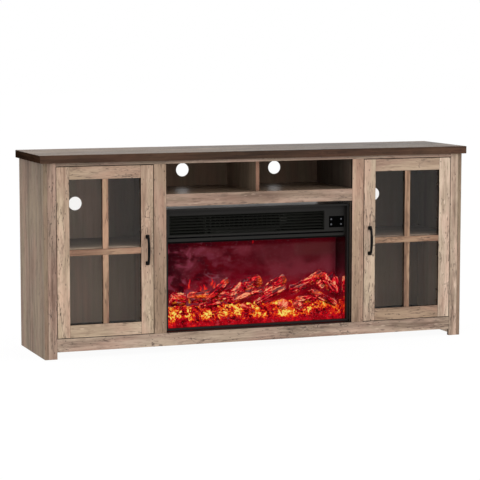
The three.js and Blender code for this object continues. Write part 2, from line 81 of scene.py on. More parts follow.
def area(name, at, look, size, power, colour=(1, 1, 1), size_y=None):
    data = bpy.data.lights.new(name, "AREA")
    data.energy = power
    data.color = colour
    data.size = size
    if size_y:
        data.shape = "RECTANGLE"
        data.size_y = size_y
    o = bpy.data.objects.new(name, data)
    scene.collection.objects.link(o)
    o.location = at
    o.rotation_mode = "QUATERNION"
    o.rotation_quaternion = (Vector(look) - Vector(at)).to_track_quat("-Z", "Y")
    return o


area("key", (2.6, -4.2, 3.0), (0.1, 0, 0.4), 2.6, 60)
area("fill", (-4.6, -2.4, 2.2), (-0.3, 0, 0.4), 3.0, 6)
area("top_light", (0.0, 0.3, 4.2), (0, 0, 0.5), 3.4, 30)


# ------------------------------------------------------------------ node helpers
class Tree:
    """Short names for building a material's nodes."""

    def __init__(self, name):
        self.mat = bpy.data.materials.new(name)
        self.mat.use_nodes = True
        self.nt = self.mat.node_tree
        self.nt.nodes.clear()
        self.out = self.add("ShaderNodeOutputMaterial")

    def add(self, kind, **props):
        n = self.nt.nodes.new(kind)
        for k, v in props.items():
            setattr(n, k, v)
        return n

    def put(self, socket, value):
        if isinstance(value, bpy.types.NodeSocket):
            self.nt.links.new(value, socket)
        elif isinstance(value, (tuple, list, Vector)) and len(value) == 3 and socket.type == "RGBA":
            socket.default_value = (*value, 1)
        else:
            socket.default_value = value

    def math(self, op, a, b=0.0, c=None, clamp=False):
        n = self.add("ShaderNodeMath", operation=op, use_clamp=clamp)
        self.put(n.inputs[0], a)
        self.put(n.inputs[1], b)
        if c is not None:
            self.put(n.inputs[2], c)
        return n.outputs[0]

    def vmath(self, op, a, b=(0, 0, 0)):
        n = self.add("ShaderNodeVectorMath", operation=op)
        self.put(n.inputs[0], a)
        if op == "SCALE":
            self.put(n.inputs["Scale"], b)
        else:
            self.put(n.inputs[1], b)
        return n.outputs["Value" if op in ("LENGTH", "DISTANCE", "DOT_PRODUCT") else "Vector"]

    def noise(self, vec, scale=1.0, detail=3.0, rough=0.5, distort=0.0, colour=False):
        n = self.add("ShaderNodeTexNoise")
        self.put(n.inputs["Vector"], vec)
        self.put(n.inputs["Scale"], scale)
        self.put(n.inputs["Detail"], detail)
        self.put(n.inputs["Roughness"], rough)
        self.put(n.inputs["Distortion"], distort)
        return n.outputs["Color" if colour else "Fac"]

    def voronoi(self, vec, scale=1.0, feature="F1", random=1.0):
        n = self.add("ShaderNodeTexVoronoi", feature=feature)
        self.put(n.inputs["Vector"], vec)
        self.put(n.inputs["Scale"], scale)
        self.put(n.inputs["Randomness"], random)
        return n

    def step(self, value, lo, hi, a=0.0, b=1.0):
        """Smoothly from a at lo to b at hi."""
        n = self.add("ShaderNodeMapRange", interpolation_type="SMOOTHSTEP")
        self.put(n.inputs["Value"], value)
        self.put(n.inputs["From Min"], lo)
        self.put(n.inputs["From Max"], hi)
        self.put(n.inputs["To Min"], a)
        self.put(n.inputs["To Max"], b)
        return n.outputs["Result"]

    def mix(self, fac, a, b, blend="MIX"):
        n = self.add("ShaderNodeMix", data_type="RGBA", blend_type=blend)
        self.put(n.inputs[0], fac)
        self.put(n.inputs[6], a)
        self.put(n.inputs[7], b)
        return n.outputs[2]

    def ramp(self, fac, stops, interp="LINEAR"):
        n = self.add("ShaderNodeValToRGB")
        e = n.color_ramp.elements
        n.color_ramp.interpolation = interp
        while len(e) < len(stops):
            e.new(0.5)
        for el, (at, col) in zip(e, stops):
            el.position = at
            el.color = (*col, 1)
        self.put(n.inputs[0], fac)
        return n.outputs["Color"]

    def coords(self):
        return self.add("ShaderNodeTexCoord").outputs["Object"]

    def split(self, vec):
        n = self.add("ShaderNodeSeparateXYZ")
        self.put(n.inputs[0], vec)
        return n.outputs[0], n.outputs[1], n.outputs[2]

    def join(self, x, y, z):
        n = self.add("ShaderNodeCombineXYZ")
        for i, v in enumerate((x, y, z)):
            self.put(n.inputs[i], v)
        return n.outputs[0]

    def bump(self, height, distance, strength=1.0, normal=None):
        n = self.add("ShaderNodeBump")
        self.put(n.inputs["Height"], height)
        self.put(n.inputs["Distance"], distance)
        self.put(n.inputs["Strength"], strength)
        if normal is not None:
            self.put(n.inputs["Normal"], normal)
        return n.outputs["Normal"]

    def principled(self, **sockets):
        n = self.add("ShaderNodeBsdfPrincipled")
        for k, v in sockets.items():
            self.put(n.inputs[k.replace("_", " ")], v)
        self.nt.links.new(n.outputs[0], self.out.inputs[0])
        return n


def srgb(r, g, b):
    def lin(c):
        c /= 255
        return c / 12.92 if c <= 0.04045 else ((c + 0.055) / 1.055) ** 2.4

    return (lin(r), lin(g), lin(b))


def scaled(c, k):
    return tuple(min(1.0, v * k) for v in c)


def blend(a, b, t):
    return tuple(x + (y - x) * t for x, y in zip(a, b))


# ------------------------------------------------------------------ wood
def wood(
    name,
    grain,
    light,
    mid,
    dark,
    seed=0.0,
    streak=1.0,
    knots=0.35,
    cracks=0.6,
    pale=0.5,
    rough=0.6,
    spec=0.35,
    crack_colour=None,
    bump=1.0,
    stripes=0.0,
    band=1.0,
    gain=1.9,
    fleck=1.0,
    shade=None,
    patches=0.0,
):
    """Printed barn-board: grain along one axis, with tonal bands, fibre streaks, knots, cracks, pits and worn pale patches."""
    t = Tree(name)
    x, y, z = t.split(t.coords())
    if grain == "cross":  # upright bars but for the level one
        level = t.math("COMPARE", z, 0.4035, 0.0122)
        upright = t.math("SUBTRACT", 1.0, level)
        a = t.math("ADD", t.math("MULTIPLY", x, level), t.math("MULTIPLY", z, upright))
        b = t.math("ADD", t.math("MULTIPLY", z, level), t.math("MULTIPLY", x, upright))
        c = y
    else:
        a, b, c = {"X": (x, y, z), "Y": (y, x, z), "Z": (z, x, y)}[grain]
    a = t.math("ADD", a, 3.17 * seed + 11)
    b = t.math("ADD", b, 1.73 * seed + 7)
    c = t.math("ADD", c, 0.91 * seed + 5)

    def scaled_by(ka, kb, kc=None):
        return t.join(t.math("MULTIPLY", a, ka), t.math("MULTIPLY", b, kb), t.math("MULTIPLY", c, kc or kb))

    # The grain wanders sideways, most around the knots.
    kcell = t.voronoi(scaled_by(3.4, 8.5), 1.0)
    kd, kcol = kcell.outputs["Distance"], kcell.outputs["Color"]
    kr = t.split(kcol)[0]
    has = t.step(kr, 1 - knots - 0.02, 1 - knots + 0.02)
    near = t.math("MULTIPLY", t.step(kd, 0.34, 0.05), has)
    wander = t.noise(scaled_by(2.3, 7.0), 1.0, 3, 0.55)
    shift = t.math("ADD", t.math("MULTIPLY", t.math("SUBTRACT", wander, 0.5), 0.030), t.math("MULTIPLY", near, 0.0085))
    b2 = t.math("ADD", b, shift)
    c2 = t.math("ADD", c, shift)

    def warped(ka, kb):
        return t.join(t.math("MULTIPLY", a, ka), t.math("MULTIPLY", b2, kb), t.math("MULTIPLY", c2, kb))

    broad = t.noise(scaled_by(1.7, 6.0), 1.0, 3, 0.55)
    bands = t.noise(warped(2.4, 46.0 * band), 1.0, 5, 0.62)
    streaks = t.noise(warped(9.0, 210.0), 1.0, 4, 0.66)
    fibre = t.noise(warped(46.0, 900.0), 1.0, 3, 0.7)
    dash = t.noise(warped(24.0, 330.0), 1.0, 3, 0.6)

    tone = t.math("ADD", t.math("MULTIPLY", broad, 0.42), t.math("MULTIPLY", bands, 0.58))
    tone = t.math("ADD", t.math("MULTIPLY", t.math("SUBTRACT", tone, 0.5), gain), 0.5)
    base = t.ramp(tone, [(0.22, dark), (0.40, blend(dark, mid, 0.72)), (0.50, mid), (0.74, light)])
    if stripes:
        wide = t.noise(t.join(t.math("MULTIPLY", a, 0.25), t.math("MULTIPLY", b, 19.0), t.math("MULTIPLY", c, 19.0)), 1.0, 2, 0.5)
        base = t.mix(t.step(wide, 0.34, 0.66, 0.0, stripes), base, scaled(light, 1.12), "MIX")
        base = t.mix(t.step(wide, 0.50, 0.30, 0.0, stripes * 0.8), base, scaled(dark, 0.86), "MIX")
    # darker fibre streaks and short dashes
    base = t.mix(t.math("MULTIPLY", t.step(streaks, 0.53, 0.70), 0.42 * streak), base, scaled(dark, 0.62))
    base = t.mix(t.math("MULTIPLY", t.step(streaks, 0.46, 0.30), 0.22 * streak), base, scaled(light, 1.10))
    patch = t.step(t.noise(scaled_by(5.0, 22.0), 1.0, 3, 0.55), 0.47, 0.66)
    base = t.mix(t.math("MULTIPLY", t.math("MULTIPLY", t.step(dash, 0.60, 0.70), patch), 0.55 * streak), base, scaled(dark, 0.40))
    base = t.mix(t.step(fibre, 0.35, 0.7, 0.0, 0.10), base, scaled(dark, 0.7))
    # worn, chalky patches and pinkish ones
    chalk = t.math("MULTIPLY", t.step(t.noise(scaled_by(7.5, 34.0), 1.0, 5, 0.62), 0.50, 0.66), t.step(bands, 0.38, 0.58))
    base = t.mix(t.math("MULTIPLY", chalk, 0.75 * pale), base, scaled(light, 1.22))
    hue = t.noise(scaled_by(4.2, 17.0), 1.0, 3, 0.5)
    base = t.mix(t.step(hue, 0.42, 0.66), base, (1.045, 0.955, 0.945), "MULTIPLY")
    base = t.mix(t.step(hue, 0.56, 0.36), base, (0.975, 1.0, 0.955), "MULTIPLY")
    # weathered smudges, two or three centimetres long
    worn = t.noise(warped(17.0, 62.0), 1.0, 4, 0.62)
    base = t.mix(t.math("MULTIPLY", t.step(worn, 0.55, 0.68), 0.46 * fleck), base, scaled(dark, 0.80))
    busy = t.step(t.noise(scaled_by(3.3, 9.0), 1.0, 2, 0.5), 0.44, 0.62)
    fl = t.voronoi(warped(34.0, 120.0), 1.0)
    flr = t.split(fl.outputs["Color"])[0]
    fin = t.math("MULTIPLY", t.step(fl.outputs["Distance"], 0.44, 0.20), t.math("ADD", t.math("MULTIPLY", busy, 0.8), 0.3))
    base = t.mix(t.math("MULTIPLY", t.math("MULTIPLY", t.step(flr, 0.80, 0.82), fin), 0.55 * fleck), base, scaled(dark, 0.50))
    base = t.mix(t.math("MULTIPLY", t.math("MULTIPLY", t.step(flr, 0.20, 0.18), fin), 0.42 * fleck), base, scaled(light, 1.25))
    # crackled, flaking patches: dark broken lines with worn edges
    if patches:
        net = t.voronoi(t.vmath("ADD", warped(20.0, 78.0), t.vmath("SCALE", t.noise(warped(30.0, 60.0), 1.0, 3, 0.6, colour=True), 0.9)), 1.0, "DISTANCE_TO_EDGE").outputs["Distance"]
        gaps = t.step(t.noise(warped(38.0, 110.0), 1.0, 3, 0.6), 0.40, 0.56)
        there = t.math("MULTIPLY", t.step(t.noise(scaled_by(4.6, 13.0), 1.0, 3, 0.6), 0.535, 0.64), gaps)
        base = t.mix(t.math("MULTIPLY", t.math("MULTIPLY", t.step(net, 0.30, 0.12), there), 0.38 * patches), base, scaled(light, 1.18))
        base = t.mix(t.math("MULTIPLY", t.math("MULTIPLY", t.step(net, 0.10, 0.02), there), 0.85 * patches), base, scaled(dark, 0.34))
    # cracks that run with the grain
    crack_col = crack_colour or scaled(dark, 0.25)
    cn = t.noise(warped(4.2, 44.0), 1.0, 4, 0.6)
    line = t.step(t.math("ABSOLUTE", t.math("SUBTRACT", cn, 0.5)), 0.015, 0.003)
    where = t.step(t.noise(scaled_by(5.1, 15.0), 1.0, 2, 0.5), 0.46, 0.58)
    crack = t.math("MULTIPLY", t.math("MULTIPLY", line, where), cracks)
    base = t.mix(crack, base, crack_col)
    # knots: a dark eye with broken rings
    wob = t.noise(scaled_by(40.0, 90.0), 1.0, 3, 0.6)
    kd2 = t.math("ADD", kd, t.math("MULTIPLY", t.math("SUBTRACT", wob, 0.5), 0.07))
    ring = t.math("SINE", t.math("MULTIPLY", kd2, 120.0))
    halo = t.math("MULTIPLY", t.step(kd2, 0.21, 0.06), has)
    base = t.mix(t.math("MULTIPLY", halo, t.step(ring, -0.6, 0.9, 0.12, 0.50)), base, scaled(dark, 0.62))
    eye = t.math("MULTIPLY", t.step(kd2, 0.085, 0.035), has)
    base = t.mix(t.math("MULTIPLY", eye, 0.85), base, scaled(dark, 0.22))
    # pits
    pc = t.voronoi(scaled_by(70.0, 150.0), 1.0)
    pit = t.math("MULTIPLY", t.step(t.split(pc.outputs["Color"])[1], 0.93, 0.95), t.step(pc.outputs["Distance"], 0.34, 0.20))
    base = t.mix(t.math("MULTIPLY", pit, 0.75 * min(1.0, fleck)), base, scaled(dark, 0.22))

    if shade:
        k = shade(t, x, y, z)
        base = t.mix(1.0, base, t.join(k, k, k), "MULTIPLY")

    height = t.math("MULTIPLY", streaks, -0.5)
    height = t.math("ADD", height, t.math("MULTIPLY", fibre, -0.35))
    height = t.math("ADD", height, t.math("MULTIPLY", crack, -1.4))
    height = t.math("ADD", height, t.math("MULTIPLY", pit, -1.2))
    height = t.math("ADD", height, t.math("MULTIPLY", eye, -0.8))
    normal = t.bump(height, 0.00045 * bump, 0.55)
    roughness = t.step(streaks, 0.35, 0.7, rough - 0.07, rough + 0.12)
    t.principled(Base_Color=base, Roughness=roughness, Specular_IOR_Level=spec, Normal=normal)
    return t.mat


def set_mat(node, mat):
    o = NODES[node]
    o.data.materials.clear()
    o.data.materials.append(mat)
    for p in o.data.polygons:
        p.material_index = 0


def face_mat(node, mat, test):
    """Gives the faces that pass the test, from their middle in fit millimetres and their normal, another material."""
    o = NODES[node]
    o.data.materials.append(mat)
    k = len(o.data.materials) - 1
    for p in o.data.polygons:
        c, n = p.center, p.normal
        if test(c.x * 1000, (c.y + YC) * 1000, c.z * 1000, n.x, n.y, n.z):
            p.material_index = k


def bevel(node, width, segments=2, angle=35):
    o = NODES[node]
    w = o.modifiers.new("weld", "WELD")
    w.merge_threshold = 1e-5
    b = o.modifiers.new("bevel", "BEVEL")
    b.width = width / 1000
    b.segments = segments
    b.limit_method = "ANGLE"
    b.angle_limit = math.radians(angle)
    b.harden_normals = False
    b.use_clamp_overlap = True
    return o


def by_height(*stops):
    """A painted light-and-shade factor that goes from one height (metres) to the next, given as (z, factor)."""

    def shade(t, x, y, z):
        k = stops[0][1]
        for (z0, k0), (z1, k1) in zip(stops, stops[1:]):
            k = t.math("ADD", k, t.step(z, z0, z1, 0.0, k1 - k0))
        return k

    return shade


def cupboard_shade(left, right, corner, levels):
    """Painted light and shade on an inner board: lighter low in each compartment, and a painted corner shadow towards
    one side.
    """
    level = by_height(*levels)

    def shade(t, x, y, z):
        return t.math("MULTIPLY", level(t, x, y, z), t.step(x, left, right, 1.0, t.step(z, 0.40, 0.42, *corner)))

    return shade


def bay_shade(t, x, y, z):
    # Painted shade: darker towards the right end of the bays, and a little darker at the left end.
    k = t.step(x, 0.02, 0.36, 1.0, 0.70)
    return t.math("MULTIPLY", k, t.step(x, -0.30, -0.39, 1.0, 0.90))


def shelf_front_light(t, x, y, z):
    """A shelf's top: painted light at its front, painted shade behind."""
    return t.step(y, -0.155, -0.010, 2.3, 1.0)


def top_edge_shade(t, x, y, z):
    # Painted shade on the top's edge at its left end, and painted light towards its right end.
    k = t.step(x, -0.80, -0.30, 0.84, 1.0)
    return t.math("ADD", k, t.step(x, 0.0, 0.5, 0.0, 0.36))


def overhang_shadow(t, x, y, z):
    """The thin rail under the overhang: a painted shadow of the overhang, darker towards its top, and painted light
    towards its right end.
    """
    return t.math("MULTIPLY", t.step(z, 0.732, 0.747, 0.84, 0.50), t.step(x, -0.2, 0.6, 1.0, 1.30))


def level_bar_shade(t, x, y, z):
    # Painted shade: the level bar of the muntins a tenth darker than the upright bars.
    return t.math("SUBTRACT", 1.0, t.math("MULTIPLY", t.math("COMPARE", z, 0.4035, 0.0122), 0.10))


def shades(mid, up=1.28, down=0.66):
    return (scaled(mid, up), mid, scaled(mid, down))


# Printed-board colours, light, mid and dark.
# The left and right copies, DOOR and DOOR_R, POST and POST_R, MUNTIN and MUNTIN_R, BACK_L and BACK_R, SHELF and
# SHELF_R, BAY and BAY_DARK, are one print lit differently: painted light and shade.
DOOR = (srgb(196, 172, 149), srgb(177, 152, 130), srgb(132, 108, 89))
# DOOR_TOP and DOOR_R_TOP are darker copies for the door top rails: a painted shadow of the top's overhang. DOOR_R_LOW
# is a darker copy for the right bottom rail.
DOOR_TOP = (srgb(180, 154, 132), srgb(160, 135, 114), srgb(122, 98, 81))
DOOR_R = (srgb(210, 188, 168), srgb(191, 168, 148), srgb(138, 114, 96))
DOOR_R_TOP = (srgb(179, 153, 132), srgb(159, 132, 113), srgb(118, 94, 78))
DOOR_R_LOW = (srgb(162, 134, 112), srgb(139, 112, 92), srgb(98, 76, 61))
DOOR_R_LATCH = (srgb(196, 173, 151), srgb(176, 152, 131), srgb(128, 105, 87))
MUNTIN = (srgb(174, 139, 113), srgb(144, 109, 87), srgb(98, 70, 53))
MUNTIN_R = (srgb(165, 131, 106), srgb(133, 99, 78), srgb(88, 61, 46))
POST = (srgb(178, 154, 137), srgb(154, 130, 113), srgb(103, 81, 68))
POST_R = (srgb(194, 171, 152), srgb(173, 150, 131), srgb(120, 98, 82))
RAIL = (srgb(180, 157, 139), srgb(156, 133, 116), srgb(106, 84, 70))
SHELF_RAIL = (srgb(166, 142, 125), srgb(146, 122, 105), srgb(106, 84, 70))
STILE_L = (srgb(168, 141, 121), srgb(146, 119, 99), srgb(104, 80, 65))
STILE = (srgb(184, 155, 133), srgb(162, 133, 112), srgb(114, 88, 71))
SIDE = (srgb(142, 122, 104), srgb(122, 103, 87), srgb(88, 72, 59))
INNER = (srgb(82, 70, 61), srgb(64, 54, 47), srgb(42, 35, 30))
BACK_L = shades((0.545, 0.425, 0.342))
BACK_R = shades((0.198, 0.147, 0.110))
INSIDE = shades((0.368, 0.284, 0.220))
SHELF = shades((0.216, 0.164, 0.124))
SHELF_R = shades((0.132, 0.099, 0.074))
BAY = shades((0.240, 0.170, 0.120))
BAY_DARK = shades((0.080, 0.058, 0.043))
TOP = (srgb(128, 103, 77), srgb(94, 73, 53), srgb(50, 36, 26))
TOP_EDGE = (srgb(80, 58, 44), srgb(66, 46, 34), srgb(44, 30, 22))
# EDGE and OUTER_EDGE are painted shade for the faces that line the openings and the gaps round the doors.
EDGE = (srgb(48, 38, 32), srgb(36, 28, 23), srgb(22, 17, 14))
OUTER_EDGE = (srgb(104, 82, 66), srgb(86, 66, 52), srgb(58, 43, 33))
HARDBOARD = (srgb(126, 100, 76), srgb(108, 84, 62), srgb(86, 65, 47))

WOODS = {
    # The side panels darken towards their top: a painted shadow of the top's overhang.
    "left_side_panel": ("Z", SIDE, 1, dict(streak=1.35, knots=0.10, cracks=0.30, pale=0.45, stripes=0.75, fleck=0.55, spec=0.12, gain=2.4, band=1.0, patches=0.40, shade=by_height((0.56, 1.0), (0.748, 0.76)))),
    "right_side_panel": ("Z", SIDE, 2, dict(streak=1.35, knots=0.10, cracks=0.30, pale=0.45, stripes=0.75, fleck=0.55, spec=0.12, gain=2.4, band=1.0, patches=0.40, shade=by_height((0.56, 1.0), (0.748, 0.76)))),
    "left_front_post": ("Z", POST, 3, dict(streak=1.1, knots=0.30, cracks=0.8, patches=0.9)),
    "right_front_post": ("Z", POST_R, 4, dict(streak=1.0, knots=0.35, cracks=0.8, patches=0.7)),
    "left_inner_stile": ("Z", STILE_L, 5, dict(streak=1.0, knots=0.0, cracks=0.6, patches=0.7)),
    "right_inner_stile": ("Z", STILE, 6, dict(streak=0.9, knots=0.2, cracks=0.4, fleck=0.8, patches=0.6)),
    "top_front_rail": ("X", RAIL, 7, dict(streak=0.9, knots=0.1, cracks=0.3, shade=overhang_shadow)),
    "shelf_front_rail": ("X", SHELF_RAIL, 8, dict(streak=1.0, knots=0.30, cracks=0.7, patches=0.6)),
    "bottom_front_rail": ("X", RAIL, 9, dict(streak=1.1, knots=0.35, cracks=0.8, patches=1.0, gain=2.2)),
    "media_divider": ("Z", MUNTIN, 10, dict(streak=0.9, knots=0.1, cracks=0.4, gain=2.2)),
    "left_door_hinge_stile": ("Z", DOOR, 11, dict(streak=0.9, knots=0.25, cracks=1.0, patches=0.7)),
    "left_door_latch_stile": ("Z", DOOR, 12, dict(streak=0.9, knots=0.30, cracks=0.8, patches=0.8)),
    "left_door_top_rail": ("X", DOOR_TOP, 13, dict(streak=0.8, knots=0.45, cracks=0.5, gain=1.2, patches=0.9)),
    "left_door_bottom_rail": ("X", DOOR, 14, dict(streak=0.9, knots=0.45, cracks=0.6, patches=1.0)),
    "left_door_muntins": ("cross", MUNTIN, 15, dict(streak=1.1, knots=0.3, cracks=0.9, gain=2.8, patches=0.9, shade=level_bar_shade)),
    "right_door_hinge_stile": ("Z", DOOR_R, 16, dict(streak=0.9, knots=0.35, cracks=0.9, patches=0.7)),
    "right_door_latch_stile": ("Z", DOOR_R_LATCH, 17, dict(streak=1.0, knots=0.40, cracks=1.0, patches=0.9)),
    "right_door_top_rail": ("X", DOOR_R_TOP, 18, dict(streak=1.0, knots=0.40, cracks=0.8, patches=1.0, gain=2.3)),
    "right_door_bottom_rail": ("X", DOOR_R_LOW, 19, dict(streak=1.0, knots=0.40, cracks=0.7, patches=1.0, gain=2.2)),
    "right_door_muntins": ("cross", MUNTIN_R, 20, dict(streak=1.1, knots=0.3, cracks=0.9, gain=2.8, patches=0.9)),
    # The top is darkened, more towards its right end: painted shade.
    "top_board": ("X", TOP, 21, dict(streak=1.8, knots=0.16, cracks=0.7, pale=0.35, rough=0.43, spec=0.24, fleck=0.9, gain=2.6, stripes=0.5, patches=0.5, shade=lambda t, x, y, z: t.step(x, -0.6, 0.8, 0.80, 0.66))),
    "bottom_board": ("X", INNER, 22, dict(streak=0.6, knots=0.1, cracks=0.2, pale=0.2, fleck=0.3)),
    "media_shelf": ("X", BAY, 23, dict(streak=0.6, knots=0.1, cracks=0.2, pale=0.2, rough=0.34, spec=0.6, fleck=0.3)),
    "left_shelf": ("X", SHELF, 24, dict(streak=0.6, knots=0.1, cracks=0.2, pale=0.2, fleck=0.3, shade=shelf_front_light)),
    "right_shelf": ("X", SHELF_R, 25, dict(streak=0.6, knots=0.1, cracks=0.2, pale=0.2, fleck=0.3, shade=shelf_front_light)),
    "left_partition": ("Z", BAY, 26, dict(streak=0.5, knots=0.05, cracks=0.1, pale=0.15, fleck=0.3)),
    "right_partition": ("Z", BAY_DARK, 27, dict(streak=0.5, knots=0.05, cracks=0.1, pale=0.15, fleck=0.3)),
    "left_back_panel": ("Z", BACK_L, 28, dict(streak=0.25, knots=0.0, cracks=0.0, pale=0.1, rough=0.75, fleck=0.1, spec=0.1, gain=0.8, shade=cupboard_shade(-0.585, -0.475, (0.76, 0.47), ((0.10, 1.30), (0.402, 1.0), (0.410, 1.0), (0.42, 0.90), (0.74, 0.86))))),
    "right_back_panel": ("Z", BACK_R, 29, dict(streak=0.25, knots=0.0, cracks=0.0, pale=0.1, rough=0.75, fleck=0.1, spec=0.1, gain=0.8, shade=cupboard_shade(0.70, 0.86, (0.85, 0.85), ((0.10, 2.1), (0.402, 1.25), (0.410, 1.25), (0.42, 0.74), (0.74, 0.60))))),
    "upper_back_panel": ("Z", BAY, 30, dict(streak=0.4, knots=0.0, cracks=0.0, pale=0.1, rough=0.75, fleck=0.2, spec=0.15, gain=1.2, shade=bay_shade)),
}
for node, (grain, (lt, md, dk), seed, more) in WOODS.items():
    set_mat(node, wood("wood_" + node, grain, lt, md, dk, seed=seed, **more))
    bevel(node, {"top_board": 2.2}.get(node, 0.5 if "back_panel" in node else 0.8), 3 if node == "top_board" else 2)

# Faces that line an opening, and the faces in the gaps round the doors, are dark brown: painted shade in the openings
# and gaps. The edges of the top have a dark band, with painted shade along it.
opening_shade_z = wood("edge_band_upright", "Z", *EDGE, seed=41, streak=0.5, knots=0.0, cracks=0.1, pale=0.1, fleck=0.2, spec=0.2)
opening_shade_x = wood("edge_band_level", "X", *EDGE, seed=42, streak=0.5, knots=0.0, cracks=0.1, pale=0.1, fleck=0.2, spec=0.2)
gap_shade_z = wood("edge_band_outer_upright", "Z", *OUTER_EDGE, seed=51, streak=0.6, knots=0.0, cracks=0.1, pale=0.2, fleck=0.3, spec=0.15)
gap_shade_x = wood("edge_band_outer_level", "X", *OUTER_EDGE, seed=52, streak=0.6, knots=0.0, cracks=0.1, pale=0.2, fleck=0.3, spec=0.15)
top_edge = wood("edge_band_top", "X", *TOP_EDGE, seed=43, streak=0.8, knots=0.05, cracks=0.4, pale=0.3, rough=0.5, spec=0.12, fleck=0.5, gain=2.4, shade=top_edge_shade)
# The ends of the top are darkened, most towards the back: painted shade.
top_end = wood("edge_band_top_end", "Y", *TOP_EDGE, seed=44, streak=0.8, knots=0.05, cracks=0.4, pale=0.3, rough=0.62, spec=0.0, fleck=0.5, gain=2.4, shade=lambda t, x, y, z: t.step(y, -0.10, 0.19, 0.52, 0.34))


def fibreboard():
    """Bare pressed fibreboard: an even brown felt of short fibres, with faint clouds."""
    t = Tree("hardboard_back")
    light, mid, dark = HARDBOARD
    p = t.coords()
    x, y, z = t.split(p)
    cloud = t.noise(p, 3.2, 3, 0.55)
    felt = t.noise(t.join(t.math("MULTIPLY", x, 260.0), t.math("MULTIPLY", y, 260.0), t.math("MULTIPLY", z, 120.0)), 1.0, 4, 0.7, 0.8)
    short = t.noise(t.join(t.math("MULTIPLY", x, 120.0), t.math("MULTIPLY", y, 260.0), t.math("MULTIPLY", z, 420.0)), 1.0, 3, 0.65, 0.6)
    speck = t.voronoi(p, 210.0)
    base = t.mix(t.step(cloud, 0.34, 0.66), mid, light)
    base = t.mix(t.step(felt, 0.50, 0.70, 0.0, 0.65), base, dark)
    base = t.mix(t.step(short, 0.54, 0.70, 0.0, 0.50), base, scaled(light, 1.25))
    base = t.mix(t.math("MULTIPLY", t.step(t.split(speck.outputs["Color"])[0], 0.93, 0.95), t.step(speck.outputs["Distance"], 0.35, 0.20)), base, scaled(dark, 0.6))
    t.principled(
        Base_Color=base,
        Roughness=t.step(felt, 0.3, 0.7, 0.74, 0.88),
        Specular_IOR_Level=0.15,
        Normal=t.bump(t.math("ADD", felt, short), 0.00025, 0.6),
    )
    return t.mat


hardboard = fibreboard()
face_mat("top_board", top_edge, lambda x, y, z, nx, ny, nz: abs(ny) > 0.7)
face_mat("top_board", top_end, lambda x, y, z, nx, ny, nz: abs(nx) > 0.7)
for side in ("left", "right"):
    for n in ("_front_post", "_inner_stile", "_door_hinge_stile", "_door_latch_stile"):
        face_mat(side + n, gap_shade_z, lambda x, y, z, nx, ny, nz: abs(nx) > 0.7 and abs(x) < 868)
    for n in ("_door_hinge_stile", "_door_latch_stile", "_door_top_rail", "_door_bottom_rail"):
        face_mat(side + n, gap_shade_x, lambda x, y, z, nx, ny, nz: abs(nz) > 0.7)
    face_mat(side + "_inner_stile", opening_shade_z, lambda x, y, z, nx, ny, nz: abs(nx) > 0.7 and abs(x) < 410)
    face_mat(side + "_door_hinge_stile", opening_shade_z, lambda x, y, z, nx, ny, nz: abs(nx) > 0.7 and abs(x) < 786)
    face_mat(side + "_door_latch_stile", opening_shade_z, lambda x, y, z, nx, ny, nz: abs(nx) > 0.7 and abs(x) > 478)
    face_mat(side + "_door_top_rail", opening_shade_x, lambda x, y, z, nx, ny, nz: nz < -0.7)
    face_mat(side + "_door_bottom_rail", opening_shade_x, lambda x, y, z, nx, ny, nz: nz > 0.7)
    face_mat(side + "_door_muntins", opening_shade_z, lambda x, y, z, nx, ny, nz: abs(nx) > 0.7 or abs(nz) > 0.7)
face_mat("bottom_front_rail", opening_shade_x, lambda x, y, z, nx, ny, nz: nz > 0.7 and abs(x) < 2000)
face_mat("shelf_front_rail", opening_shade_x, lambda x, y, z, nx, ny, nz: nz < -0.7)
face_mat("top_front_rail", opening_shade_x, lambda x, y, z, nx, ny, nz: nz < -0.7)
inner_level = wood("inner_board_level", "X", *BAY, seed=46, streak=0.6, knots=0.1, cracks=0.2, pale=0.2, rough=0.34, spec=0.6, fleck=0.3)
inner_upright = wood("inner_board_upright", "Z", *BAY, seed=47, streak=0.5, knots=0.05, cracks=0.1, pale=0.15, fleck=0.3)
face_mat("shelf_front_rail", inner_level, lambda x, y, z, nx, ny, nz: nz > 0.7)
face_mat("media_divider", inner_upright, lambda x, y, z, nx, ny, nz: abs(nx) > 0.7)
# The inner faces of the cupboards: painted light low down and painted shade high up in each compartment.
inside = wood("inner_board_cupboard", "Z", *INSIDE, seed=48, streak=0.4, knots=0.0, cracks=0.1, pale=0.1, fleck=0.2, spec=0.1, gain=1.3, shade=by_height((0.10, 1.40), (0.402, 1.10), (0.410, 1.10), (0.42, 0.58), (0.74, 0.50)))
for side, s in (("left", -1), ("right", 1)):
    face_mat(side + "_side_panel", inside, lambda x, y, z, nx, ny, nz: nx * s < -0.7 and abs(x) < 862)
    face_mat(side + "_partition", inside, lambda x, y, z, nx, ny, nz: nx * s > 0.7)
for n in ("left_back_panel", "right_back_panel", "upper_back_panel"):
    face_mat(n, hardboard, lambda x, y, z, nx, ny, nz: ny > 0.7)


# ------------------------------------------------------------------ metals, plastics, glass
def coated(name, colour, rough, spec, metallic=0.0, grain=900.0, depth=0.00004, vary=0.12, coat=0.0):
    """Powder-coated or moulded surface with a fine pebble and slight tone drift."""
    t = Tree(name)
    p = t.coords()
    fine = t.noise(p, grain, 2, 0.5)
    drift = t.noise(p, 6.0, 3, 0.5)
    col = t.mix(t.step(drift, 0.3, 0.7), scaled(colour, 1 - vary), scaled(colour, 1 + vary))
    r = t.step(drift, 0.3, 0.7, rough - 0.04, rough + 0.05)
    t.principled(
        Base_Color=col,
        Roughness=r,
        Specular_IOR_Level=spec,
        Metallic=metallic,
        Coat_Weight=coat,
        Normal=t.bump(fine, depth, 0.6),
    )
    return t.mat


